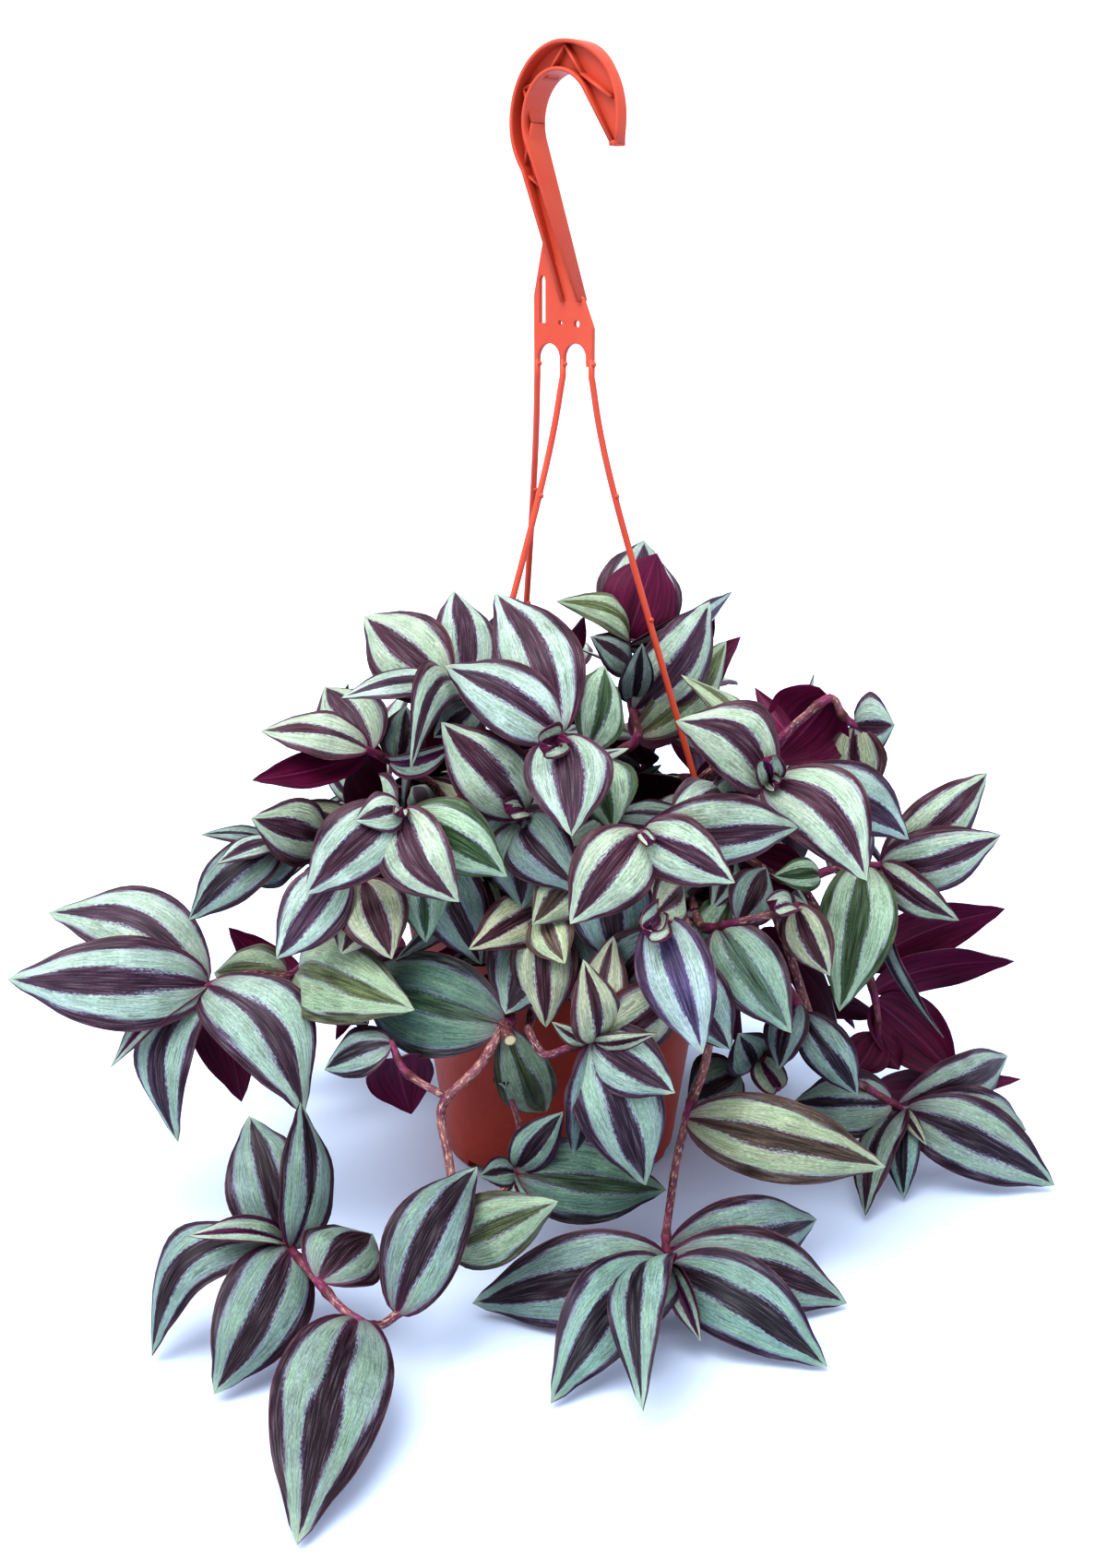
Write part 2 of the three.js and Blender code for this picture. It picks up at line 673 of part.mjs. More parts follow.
function makePot() {
  const { height, baseRadius, topRadius, lipRadius, lipHeight, wall, floor, foot } = POT;
  const lipFoot = height - lipHeight;
  const body = lathe(
    [
      [0, 0],
      [baseRadius - foot, 0],
      [baseRadius, foot],
      [topRadius, lipFoot],
      [lipRadius, lipFoot],
      [lipRadius, height - 1.2],
      [lipRadius - 1.2, height],
      [lipRadius - 3, height],
      [topRadius - wall, lipFoot - 2],
      [baseRadius - wall, floor],
      [0, floor],
    ],
    POT.segments,
  );
  const bearings = Array.from({ length: NOTCH.count }, (_, k) => (360 * (k + 0.5)) / NOTCH.count);
  const middle = baseRadius - NOTCH.deep / 2;
  const step = NOTCH.height + NOTCH.skin;
  const core = [[0, 0], [baseRadius - foot, 0], [baseRadius, foot], [potRadiusAt(step), step], [0, step]];
  const keep = lathe(core, POT.segments);
  const { deep, wide, skin, drain } = NOTCH;
  const steps = bearings.map((b) => wedge(b, middle - skin / 2, deep + skin, wide + 2 * skin, 0.5, step));
  const notches = bearings.map((b) => wedge(b, middle + 4, deep + 8, wide, -1, NOTCH.height));
  const drains = bearings.map((b) => wedge(b, middle, drain * 0.6, drain, NOTCH.height - 1, step + 1));
  const raised = Manifold.union(steps).intersect(keep);
  return oneBody(body.add(raised).subtract(Manifold.union(notches)).subtract(Manifold.union(drains)));
}

// Dark soil with a lumpy top. It rests on the steps and the floor of the pot, and each stem has its hole.
function makeSoil(holes) {
  const step = NOTCH.height + NOTCH.skin + GAP;
  const core = POT.baseRadius - NOTCH.deep - NOTCH.skin - 1.2;
  const inside = (z) => potRadiusAt(z) - POT.wall - GAP;
  const body = lathe(
    [
      [0, POT.floor + GAP],
      [core, POT.floor + GAP],
      [core, step],
      [inside(step) - 0.3, step],
      [inside(SOIL.top - 6), SOIL.top - 6],
      [0, SOIL.top - 6],
    ],
    SOIL.segments,
  );
  const points = [V(0, 0, SOIL.top)];
  const faces = [];
  const rim = inside(SOIL.top - 6) - 0.05;
  for (let ring = 1; ring <= SOIL.rings; ring++)
    for (let k = 0; k < SOIL.segments; k++) {
      const turn = (2 * Math.PI * k) / SOIL.segments;
      const lump = (draw(ring * 57 + k * 3) - 0.5) * 2 * SOIL.lump;
      const r = (rim * ring) / SOIL.rings;
      points.push(V(r * Math.cos(turn), r * Math.sin(turn), SOIL.top + (ring === SOIL.rings ? -2 : lump)));
    }
  const floorStart = points.length;
  for (let k = 0; k < SOIL.segments; k++) {
    const turn = (2 * Math.PI * k) / SOIL.segments;
    points.push(V(rim * Math.cos(turn), rim * Math.sin(turn), SOIL.top - 8));
  }
  points.push(V(0, 0, SOIL.top - 8));
  for (let k = 0; k < SOIL.segments; k++) {
    const next = (k + 1) % SOIL.segments;
    faces.push([0, 1 + k, 1 + next]);
    for (let ring = 0; ring < SOIL.rings; ring++) {
      const a = 1 + ring * SOIL.segments;
      const b = a + SOIL.segments;
      faces.push([a + k, b + k, b + next], [a + k, b + next, a + next]);
    }
    faces.push([floorStart + k, points.length - 1, floorStart + next]);
  }
  const top = solid(shell(points, faces));
  return oneBody(body.add(top).subtract(Manifold.union(holes)));
}

// Points of the hook's outer and inner edges, as [x, z, depth]
function hookEdges() {
  const [cx, cz] = HOOK.centre;
  const arc = (scaleX, scaleZ, dx, dz, from, to, count) =>
    Array.from({ length: count + 1 }, (_, k) => {
      const turn = radians(lerp(from, to, k / count));
      return [cx + dx + scaleX * Math.cos(turn), cz + dz + scaleZ * Math.sin(turn)];
    });
  const [heelX, heelZ] = HOOK.heel;
  const [throatX, throatZ] = HOOK.throat;
  const outer = [...arc(HOOK.outsideX, HOOK.outsideZ, 0, 0, -8, 218, 11), [heelX, heelZ]];
  const bend = arc(HOOK.insideX, HOOK.insideZ, -3, 0.4, 36, 200, 8);
  const inner = [[HOOK.tip[0] - 2.4, HOOK.tip[1] + 1], ...bend, [throatX, throatZ]];
  const depthAt = (z, x) => {
    const down = THREE.MathUtils.clamp((z - heelZ) / 62, 0, 1);
    const out = THREE.MathUtils.clamp((x - 4) / 22, 0, 1);
    return lerp(HOOK.endDepth, HOOK.depth, Math.min(down, 1 - out));
  };
  const deep = (line) => line.map(([x, z]) => [x, z, depthAt(z, x)]);
  return { outer: deep([[HOOK.tip[0], HOOK.tip[1]], ...outer]), inner: deep(inner) };
}

function makeHanger() {
  const { outer, inner } = hookEdges();
  const webOutline = [...outer, ...inner.toReversed()].map(([x, z]) => [x, z]);
  const parts = [plate(webOutline, [], HOOK.web), strip(outer, HOOK.flange), strip(inner, HOOK.flange)];
  parts.push(strip(RIB.line.map(([x, z]) => [x, z, RIB.depth]), RIB.thick));
  const [tipX, tipZ] = HOOK.tip;
  const tipEnds = [tipX - 3, tipX + 0.8].map((x) => [x, tipZ + 0.4, HOOK.endDepth]);
  parts.push(strip(tipEnds, 2.2));

  const arches = ARCH.lefts.map((left) => {
    const radius = ARCH.width / 2;
    const dome = Array.from({ length: 7 }, (_, k) => {
      const turn = Math.PI * (1 - k / 6);
      return [left + radius + radius * Math.cos(turn), ARCH.top - radius + radius * Math.sin(turn)];
    });
    return dome;
  });
  const { left, right, top, shoulder, bottom } = PLATE;
  const outline = [[left, bottom], [left, 364], [-9, top], [12.4, 362.5], [right, shoulder], [right, bottom]];
  for (const dome of arches.toReversed()) {
    outline.push([dome[6][0], bottom], ...dome.toReversed(), [dome[0][0], bottom]);
  }
  const slotTop = SLOT.bottom + SLOT.height;
  const slot = [
    [SLOT.x - SLOT.width / 2, SLOT.bottom], [SLOT.x + SLOT.width / 2, SLOT.bottom],
    [SLOT.x + SLOT.width / 2, slotTop], [SLOT.x - SLOT.width / 2, slotTop],
  ];
  const holes = [slot, ...PIN_HOLES.map((hole) => round(hole.x, hole.z, hole.radius, 6))];
  parts.push(plate(outline, holes, PLATE.thick));

  for (const line of legLines()) {
    parts.push(rod(line, line.map(() => LEG.radius), LEG.sides));
    for (const level of LEG.nubs) {
      const i = line.findIndex((p) => p.z < level);
      const t = (line[i - 1].z - level) / (line[i - 1].z - line[i].z);
      const at = line[i - 1].clone().lerp(line[i], t);
      const nub = new THREE.OctahedronGeometry(LEG.nubRadius, 0).translate(at.x + LEG.nubOut, at.y, at.z);
      parts.push(solid(nub));
    }
  }
  return oneBody(Manifold.union(parts));
}

// Each leg runs from the plate down to the lip, round the outside of the lip and a little way under it.
function legLines() {
  return LEG.starts.map((start, i) => {
    const bearing = radians(LEG.azimuths[i]);
    const at = (radius, z) => V(radius * Math.cos(bearing), radius * Math.sin(bearing), z);
    const outside = POT.lipRadius + LEG.radius + GAP;
    const lipFoot = POT.height - POT.lipHeight;
    const top = V(start, 0, PLATE.bottom + 3);
    const neck = V(start, 0, PLATE.bottom - 4);
    const rim = at(outside, POT.height + 4);
    const bowed = neck.clone().lerp(rim, LEG.bowAt).addScaledVector(at(1, 0), LEG.bow);
    return [
      top,
      ...smooth([neck, bowed, rim], 2),
      at(outside, lipFoot + 2),
      at(outside - 0.8, lipFoot - 1),
      at(outside - 2.6, lipFoot - LEG.radius - GAP - 0.1),
      at(outside - 4.4, lipFoot - LEG.radius - GAP - 0.1),
    ];
  });
}

// Share of a leaf's full width at a share of its length
const widthAt = (t) => (t ** BLADE.rise * (1 - t) ** BLADE.fall) / FULL;

// How far the edges of a leaf stand above its midrib, as a share of the half width
const edgeLift = (t) => BLADE.baseFold * Math.exp(-t / BLADE.foldReach) - BLADE.edgeDroop;

const stationsFor = (width) => STATIONS.find((group) => width >= group.from).at;

// Closed thin blade of a leaf, with triangles split alike on both faces
function blade(leaf, grow = 0) {
  const span = leaf.tip.clone().sub(leaf.base);
  const length = span.length();
  const along = span.clone().normalize();
  const flat = leaf.facing.clone().addScaledVector(along, -leaf.facing.dot(along)).normalize();
  const swing = radians(leaf.turn);
  const normal = flat
    .clone()
    .multiplyScalar(Math.cos(swing))
    .addScaledVector(along.clone().cross(flat), Math.sin(swing));
  const side = along.clone().cross(normal);
  const half = BLADE.half + grow;
  const points = [leaf.base.clone()];
  for (const t of leaf.stations) {
    const bend = leaf.arch * length;
    const middle = leaf.base
      .clone()
      .addScaledVector(span, t)
      .addScaledVector(normal, bend * Math.sin(Math.PI * t ** 0.85));
    const slope = bend * Math.cos(Math.PI * t ** 0.85) * Math.PI * 0.85 * t ** -0.15;
    const tangent = span.clone().addScaledVector(normal, slope).normalize();
    const out = side.clone().cross(tangent).normalize();
    const w = (leaf.width / 2) * widthAt(t) + grow;
    const lift = edgeLift(t) * w;
    points.push(
      middle.clone().addScaledVector(side, w).addScaledVector(out, lift),
      middle.clone().addScaledVector(out, half),
      middle.clone().addScaledVector(side, -w).addScaledVector(out, lift),
      middle.clone().addScaledVector(out, -half),
    );
  }
  points.push(leaf.tip.clone().addScaledVector(along, grow));
  const faces = [];
  for (let i = 0; i < leaf.stations.length - 1; i++) {
    const [l, u, r, d] = [1, 2, 3, 4].map((k) => k + 4 * i);
    const [l2, u2, r2, d2] = [l + 4, u + 4, r + 4, d + 4];
    faces.push([u, l, u2], [l, l2, u2], [u, u2, r], [r, u2, r2]);
    faces.push([d, d2, l], [l, d2, l2], [d, r, d2], [r, r2, d2]);
  }
  const [l, u, r, d] = [1, 2, 3, 4].map((k) => k + 4 * (leaf.stations.length - 1));
  const tip = points.length - 1;
  faces.push([0, 1, 2], [0, 2, 3], [0, 4, 1], [0, 3, 4]);
  faces.push([l, tip, u], [u, tip, r], [l, d, tip], [d, r, tip]);
  return solid(shell(points, faces));
}

// The ways that a leaf may be bent to stay clear, from none at all to the most
function bends(leaf) {
  const ways = [];
  for (const shrink of SHRINKS)
    for (const arch of ARCHES)
      for (const shift of SHIFTS) {
        const moved = leaf.tip.clone().addScaledVector(leaf.slide, shift);
        ways.push({
          ...leaf,
          tip: leaf.base.clone().lerp(moved, shrink),
          width: leaf.width * (0.5 + 0.5 * shrink),
          arch: leaf.arch + arch,
        });
      }
  return ways;
}

// Where a stem runs: down in the soil, up to its surface, and on through its rise and its stem points
function stemLine(start, onward) {
  const bottom = V(start.x, start.y, SOIL.top - SOIL.rootDepth);
  const surface = V(start.x, start.y, SOIL.top + SOIL.lump + 1);
  return [bottom, ...smooth([surface, ...onward], STEM.steps)];
}

const radiiOf = (line, from, to) => line.map((_, i) => lerp(from, to, i / (line.length - 1)));

// The point of a stem that lies nearest to a place in the view
function seatInView(seats, column, row) {
  let best = seats[0];
  let least = Infinity;
  for (const seat of seats) {
    const [c, r] = placeInView(seat);
    const far = Math.hypot(c - column, r - row);
    if (far < least) [best, least] = [seat, far];
  }
  return best;
}

// A stem that the view shows, with its leaves
function frontStem(plan) {
  const start = turned(plan.root[0], plan.root[1], SOIL.top);
  const rise = plan.rise.map(([right, forward, up]) => turned(right, forward, up));
  const main = stemLine(start, [...rise, ...plan.stem.map((p) => seen(...p))]);
  const twigs = (plan.twigs ?? []).map((twig) => smooth(twig.map((p) => seen(...p)), STEM.steps));
  const seats = [main.slice(STEM.steps * rise.length), ...twigs].flatMap((line) => stepped(line, STEM.seats));
  const leaves = plan.leaves.map(([column, row, tipColumn, tipRow, forward, width, turn, tone, arch]) => {
    const base = seatInView(seats, column, row);
    const tip = seen(tipColumn, tipRow, forward);
    const toEye = EYE.clone().sub(tip).normalize();
    return {
      base,
      tip,
      width,
      turn,
      tone,
      arch: arch ?? BLADE.arch,
      facing: toEye,
      slide: toEye,
      stations: stationsFor(width),
    };
  });
  const rods = [
    rod(main, radiiOf(main, STEM.thick, STEM.thin), STEM.sides),
    ...twigs.map((line) => rod(line, radiiOf(line, STEM.thin * 1.1, STEM.thin * 0.8), STEM.sides)),
  ];
  return { name: plan.name, start, rods, leaves };
}

// A hidden stem of a ring, with its leaves set round it by rule
function ringStem(ring, index, ringIndex) {
  const bearing = radians(ring.bearings[index]);
  const seed = 1000 * (ringIndex + 1) + 50 * index;
  const out = (radius, up) => turned(radius * Math.cos(bearing), -radius * Math.sin(bearing), up);
  const start = out(ring.root, SOIL.top);
  const level = ring.level + 16 * (draw(seed) - 0.5);
  const reach = ring.reach * (0.94 + 0.12 * draw(seed + 1));
  const brow = Math.max(Math.min(level, 150), 131);
  const lift = out(ring.root + 6, SOIL.top + 19);
  const crest = out(lerp(ring.root, reach, 0.45), brow);
  const end = out(reach, level);
  const slope = radians(ring.tilt);
  const axis = out(Math.cos(slope), 0).addScaledVector(UP, Math.sin(slope)).normalize();
  const shoulder = end.clone().addScaledVector(axis, -0.24 * reach);
  const line = stemLine(start, [lift, crest, shoulder, end]);
  const seats = stepped(line.slice(1), STEM.seats);
  const across = axis.clone().cross(UP).normalize();
  const other = across.clone().cross(axis);
  const leaves = Array.from({ length: RING_LEAVES.count }, (_, k) => {
    const youth = k / (RING_LEAVES.count - 1);
    const base = seats[Math.round(lerp(RING_LEAVES.from, 1, youth) * (seats.length - 1))];
    const spin = radians(k * RING_LEAVES.golden + 360 * draw(seed + 2) + 30 * draw(seed + 3 + k));
    const open = radians(lerp(RING_LEAVES.spread, RING_LEAVES.close, youth ** 1.4));
    const scale = 0.9 + 0.2 * draw(seed + 12 + k);
    const size = scale * lerp(RING_LEAVES.long, RING_LEAVES.short, youth ** 1.8);
    const round = across.clone().multiplyScalar(Math.cos(spin)).addScaledVector(other, Math.sin(spin));
    const way = axis.clone().multiplyScalar(Math.cos(open)).addScaledVector(round, Math.sin(open));
    const sag = RING_LEAVES.sag * size * (1 - youth);
    const tip = base.clone().addScaledVector(way, size).addScaledVector(UP, -sag);
    tip.z = Math.max(tip.z, RING_LEAVES.floor);
    const facing = axis.clone().addScaledVector(UP, 0.5).normalize();
    return {
      base,
      tip,
      width: size / RING_LEAVES.ratio,
      turn: 24 * (draw(seed + 22 + k) - 0.5),
      tone: draw(seed + 32 + k) < 0.5 ? "silver" : "shade",
      arch: BLADE.arch,
      facing,
      slide: facing,
      stations: stationsFor(Math.min(size / RING_LEAVES.ratio, FINEST_HIDDEN)),
    };
  });
  const rods = [rod(line, radiiOf(line, STEM.thick, STEM.thin), STEM.sides)];
  return { name: `${ring.name}_${index + 1}`, start, rods, leaves };
}

const boxesMeet = (a, b) => [0, 1, 2].every((k) => a.min[k] <= b.max[k] && b.min[k] <= a.max[k]);

// Sets each leaf in the first bend that is clear of the pot, the hanger and the other stems.
function settle(stems, fixed) {
  const standing = fixed.map((body) => ({ owner: null, body, box: body.boundingBox() }));
  for (const stem of stems)
    for (const body of stem.rods) standing.push({ owner: stem, body, box: body.boundingBox() });
  for (const stem of stems) {
    stem.blades = [];
    for (const leaf of stem.leaves) {
      let fallback = null;
      let chosen = null;
      for (const way of bends(leaf)) {
        const probe = blade(way, CLEARANCE);
        const box = probe.boundingBox();
        if (box.min[2] < BLADE.lowest) continue;
        const near = standing.filter((other) => boxesMeet(box, other.box));
        const clear = near
          .filter((other) => other.owner !== stem)
          .every((other) => probe.intersect(other.body).isEmpty());
        if (!clear) continue;
        fallback ??= way;
        const own = near.filter((other) => other.owner === stem && other.leaf);
        if (own.every((other) => probe.intersect(other.body).volume() < OWN_OVERLAP)) {
          chosen = way;
          break;
        }
      }
      const way = chosen ?? fallback;
      if (!way) continue;
      const body = blade(way);
      stem.blades.push(body);
      standing.push({ owner: stem, body, box: body.boundingBox(), leaf: true });
    }
  }
}

// Visible mesh of a solid
function meshOf(name, body, color, roughness) {
  const { vertProperties, triVerts } = body.getMesh();
  const geometry = new THREE.BufferGeometry();
  geometry.setAttribute("position", new THREE.BufferAttribute(new Float32Array(vertProperties), 3));
  geometry.setIndex(new THREE.BufferAttribute(new Uint32Array(triVerts), 1));
  geometry.computeVertexNormals();
  const material = new THREE.MeshStandardMaterial({ color, roughness, metalness: 0 });
  const mesh = new THREE.Mesh(geometry, material);
  mesh.name = name;
  return mesh;
}

// Mean colour of a stem's leaves
function toneOf(stem) {
  const mean = new THREE.Color(0, 0, 0);
  for (const leaf of stem.leaves) mean.add(new THREE.Color(TONES[leaf.tone]));
  return mean.multiplyScalar(1 / stem.leaves.length);
}

const stems = [
  ...FRONT_STEMS.map(frontStem),
  ...RINGS.flatMap((ring, r) => ring.bearings.map((_, i) => ringStem(ring, i, r))),
];
const holes = stems.map((stem) => {
  const line = [
    V(stem.start.x, stem.start.y, SOIL.top - SOIL.rootDepth - GAP),
    V(stem.start.x, stem.start.y, SOIL.top + 4),
  ];
  return rod(line, [STEM.thick + 3 * GAP, STEM.thick + 3 * GAP], SOIL.holeSides);
});
const pot = makePot();
const soil = makeSoil(holes);
const hanger = makeHanger();
settle(stems, [pot, soil, hanger]);

const container = new THREE.Group();
container.add(meshOf("pot", pot, 0xa5452f, 0.45));
container.add(meshOf("potting_soil", soil, 0x33261d, 0.95));
container.add(meshOf("hanger", hanger, 0xe0553f, 0.4));

const plant = new THREE.Group();
for (const stem of stems) {
  const body = oneBody(Manifold.union([...stem.rods, ...stem.blades]));
  plant.add(meshOf(stem.name, body, toneOf(stem), 0.5));
}

const object = new THREE.Group();
object.name = "potted_tradescantia";
object.add(container, plant);

export default object;
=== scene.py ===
"""Potted inch plant in a plastic hanging pot, dressed over its packed construction model.

Lengths in this script are millimetres and angles are degrees. A finished mesh is turned to metres in
one place. Places in the view are [column, row] of a picture of 1200 x 1700.
"""

import logging
import math
from dataclasses import dataclass, replace
from enum import Enum
from functools import partial
from itertools import accumulate
from typing import Callable, Iterator, Optional, Sequence, Union

import bmesh
import bpy
from mathutils import Matrix, Vector, kdtree, noise


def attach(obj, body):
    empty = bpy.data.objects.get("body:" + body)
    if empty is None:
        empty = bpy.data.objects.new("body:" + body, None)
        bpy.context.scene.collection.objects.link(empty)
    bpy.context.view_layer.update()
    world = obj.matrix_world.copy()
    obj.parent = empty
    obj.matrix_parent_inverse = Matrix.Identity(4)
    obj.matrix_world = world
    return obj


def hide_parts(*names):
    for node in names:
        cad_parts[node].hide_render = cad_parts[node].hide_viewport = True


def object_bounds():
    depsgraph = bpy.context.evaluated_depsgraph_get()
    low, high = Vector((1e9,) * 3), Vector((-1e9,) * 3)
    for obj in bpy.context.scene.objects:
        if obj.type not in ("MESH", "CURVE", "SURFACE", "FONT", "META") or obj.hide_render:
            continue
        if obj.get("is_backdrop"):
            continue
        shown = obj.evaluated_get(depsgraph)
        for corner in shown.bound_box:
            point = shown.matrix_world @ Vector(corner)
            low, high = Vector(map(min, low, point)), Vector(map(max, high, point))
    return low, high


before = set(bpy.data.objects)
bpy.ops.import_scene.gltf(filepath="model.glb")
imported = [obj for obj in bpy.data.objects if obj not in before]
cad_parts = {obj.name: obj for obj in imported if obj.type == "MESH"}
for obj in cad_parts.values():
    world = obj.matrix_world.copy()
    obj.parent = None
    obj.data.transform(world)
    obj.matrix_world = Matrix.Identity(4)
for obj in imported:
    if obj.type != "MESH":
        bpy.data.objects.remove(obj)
CAD_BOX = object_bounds()

LOG = logging.getLogger("potted_plant")
MM = 0.001
UP = Vector((0.0, 0.0, 1.0))
GAP = 0.35
HASH = (12.9898, 4.1414, 43758.5453)

MATH, VECTOR, SPLIT = "ShaderNodeMath", "ShaderNodeVectorMath", "ShaderNodeSeparateXYZ"
RANGE, MIX, BUMP = "ShaderNodeMapRange", "ShaderNodeMix", "ShaderNodeBump"
NOISE, WHERE, STORED = "ShaderNodeTexNoise", "ShaderNodeTexCoord", "ShaderNodeAttribute"
SOFT = {"interpolation_type": "SMOOTHSTEP"}
BLEND = {"data_type": "RGBA"}

Flat = tuple[float, float]
Spot = tuple[float, float, float]
Socket = bpy.types.NodeSocket
Inputs = Union[dict[Union[str, int], object], Sequence[object]]
Adder = Callable[..., Sequence[Socket]]


def linear(code: str) -> tuple[float, float, float, float]:
    """Turns an sRGB hex value, such as "A5452F", into a linear colour with an alpha of one."""
    parts = [int(code[i : i + 2], 16) / 255 for i in (0, 2, 4)]
    return (*(c / 12.92 if c <= 0.04045 else ((c + 0.055) / 1.055) ** 2.4 for c in parts), 1.0)


def add_node(
    tree: bpy.types.NodeTree, kind: str, inputs: Inputs = (), **settings: object
) -> Sequence[Socket]:
    """Adds one shader node with its settings and its links.

    Args:
        tree: The tree that the node goes in.
        kind: Blender's name for the node.
        inputs: An output or a constant value for each input, in their order, or by name or number.
        settings: Values of the node's own properties.

    Returns:
        The node's outputs.
    """
    node = tree.nodes.new(kind)
    for name, value in settings.items():
        setattr(node, name, value)
    for key, value in inputs.items() if isinstance(inputs, dict) else enumerate(inputs):
        if isinstance(value, Socket):
            tree.links.new(value, node.inputs[key])
        else:
            node.inputs[key].default_value = value
    return node.outputs


def draw(seed: float) -> float:
    """Gives a repeatable draw between 0 and 1 for a seed."""
    wave = math.sin(seed * HASH[0] + HASH[1]) * HASH[2]
    return wave - math.floor(wave)


def sway(amount: float, seed: float) -> float:
    """Gives a repeatable draw of up to half an amount to either side."""
    return amount * (draw(seed) - 0.5)


def lerp(a: float, b: float, share: float) -> float:
    """Gives the value at a share of the way from a to b."""
    return a + (b - a) * share


def nearest(apart: Sequence[float]) -> int:
    """Gives the place of the smallest of some distances."""
    return apart.index(min(apart))


def distances(line: Sequence[Vector]) -> list[float]:
    """Gives how far along a line each of its points is."""
    return list(accumulate(((b - a).length for a, b in zip(line, line[1:])), initial=0.0))


def swung(way: Vector, other: Vector, turn: float) -> Vector:
    """Turns one way towards another that is square to it."""
    return way * math.cos(turn) + other * math.sin(turn)


def on_circle(turn: float, radius: float) -> Vector:
    """Gives a point of a round section."""
    return Vector((math.cos(turn), math.sin(turn), 0.0)) * radius


def arc(centre: Flat, radii: Flat, start: float, end: float, steps: int) -> list[Flat]:
    """Gives an arc of an ellipse in the plane of the hook, as [x, z], in steps from one angle to another."""
    turns = [math.radians(lerp(start, end, k / steps)) for k in range(steps + 1)]
    return [(centre[0] + radii[0] * math.cos(turn), centre[1] + radii[1] * math.sin(turn)) for turn in turns]


def smooth(points: Sequence[Vector], steps: int) -> list[Vector]:
    """Runs a smooth line through points.

    Args:
        points: The points that the line passes through.
        steps: Steps between each two of them.

    Returns:
        The points of the line, ends included.
    """
    line: list[Vector] = []
    for a, b, c, d in zip([points[0], *points], points, points[1:], [*points[2:], points[-1]]):
        for k in range(steps):
            u = k / steps
            bend = 2 * b + (c - a) * u + (2 * a - 5 * b + 4 * c - d) * u**2
            line.append(0.5 * (bend + (3 * b - a - 3 * c + d) * u**3))
    return [*line, points[-1].copy()]


def stepped(line: Sequence[Vector], steps: int) -> list[Vector]:
    """Gives straight steps between the points of a line, up to the last one before its end."""
    return [a.lerp(b, k / steps) for a, b in zip(line, line[1:]) for k in range(steps)]


def tree_of(points: Sequence[Vector]) -> kdtree.KDTree:
    """Sorts points so that the nearest one is found fast.

    Args:
        points: The points.

    Returns:
        The tree that finds them.
    """
    tree = kdtree.KDTree(len(points))
    for i, point in enumerate(points):
        tree.insert(point, i)
    tree.balance()
    return tree


@dataclass(frozen=True)
class Viewpoint:
    """Where the plant is seen from: its bearing and tilt, the eye, and the picture's measures in pixels.

    per_mm is how many pixels a millimetre takes near the pot.
    """

    azimuth: float = 42.0
    tilt: float = 13.7
    eye_right: float = -2.8
    eye_forward: float = 810.0
    eye_up: float = 360.0
    focal: float = 2130.0
    middle_column: float = 600.0
    middle_row: float = 850.0
    long_side: float = 1700.0
    sensor: float = 36.0
    clip: Flat = (0.01, 20.0)
    per_mm: float = 2.4

    def turned(self, right: float, forward: float, up: float) -> Vector:
        """Turns a point's place as the viewer sees it, right, forward and up, to the part's own axes."""
        c, s = math.cos(math.radians(self.azimuth)), math.sin(math.radians(self.azimuth))
        return Vector((right * c + forward * s, right * s - forward * c, up))

    @property
    def eye(self) -> Vector:
        """The place of the eye."""
        return self.turned(self.eye_right, self.eye_forward, self.eye_up)

    def seen(self, column: float, row: float, forward: float) -> Vector:
        """Finds the point at one place in the view.

        Args:
            column: Column in the picture.
            row: Row in the picture.
            forward: Distance in front of the pot's axis.

        Returns:
            The point in the part's own axes.
        """
        c, s = math.cos(math.radians(self.tilt)), math.sin(math.radians(self.tilt))
        across = (column - self.middle_column) / self.focal
        rise = (self.middle_row - row) / self.focal
        reach = (self.eye_forward - forward) / (rise * s + c)
        return self.turned(self.eye_right + across * reach, forward, self.eye_up + (rise * c - s) * reach)

    def place_in_view(self, point: Vector) -> Flat:
        """Finds where a point is seen.

        Args:
            point: The point in the part's own axes.

        Returns:
            Its column and row.
        """
        c, s = math.cos(math.radians(self.azimuth)), math.sin(math.radians(self.azimuth))
        across = point.x * c + point.y * s - self.eye_right
        away = self.eye_forward - point.x * s + point.y * c
        climb = point.z - self.eye_up
        c, s = math.cos(math.radians(self.tilt)), math.sin(math.radians(self.tilt))
        depth = away * c - climb * s
        height = away * s + climb * c
        return self.middle_column + self.focal * across / depth, self.middle_row - self.focal * height / depth

    def make_camera(self) -> None:
        """Makes the camera that stands at the eye."""
        lens = bpy.data.cameras.new("camera")
        lens.sensor_width = self.sensor
        lens.lens = self.focal * self.sensor / self.long_side
        lens.clip_start, lens.clip_end = self.clip
        camera = bpy.data.objects.new("camera", lens)
        camera.location = self.eye * MM
        camera.rotation_euler = (math.radians(90 - self.tilt), 0.0, math.radians(self.azimuth))
        bpy.context.scene.collection.objects.link(camera)
        bpy.context.scene.camera = camera


# Meshes


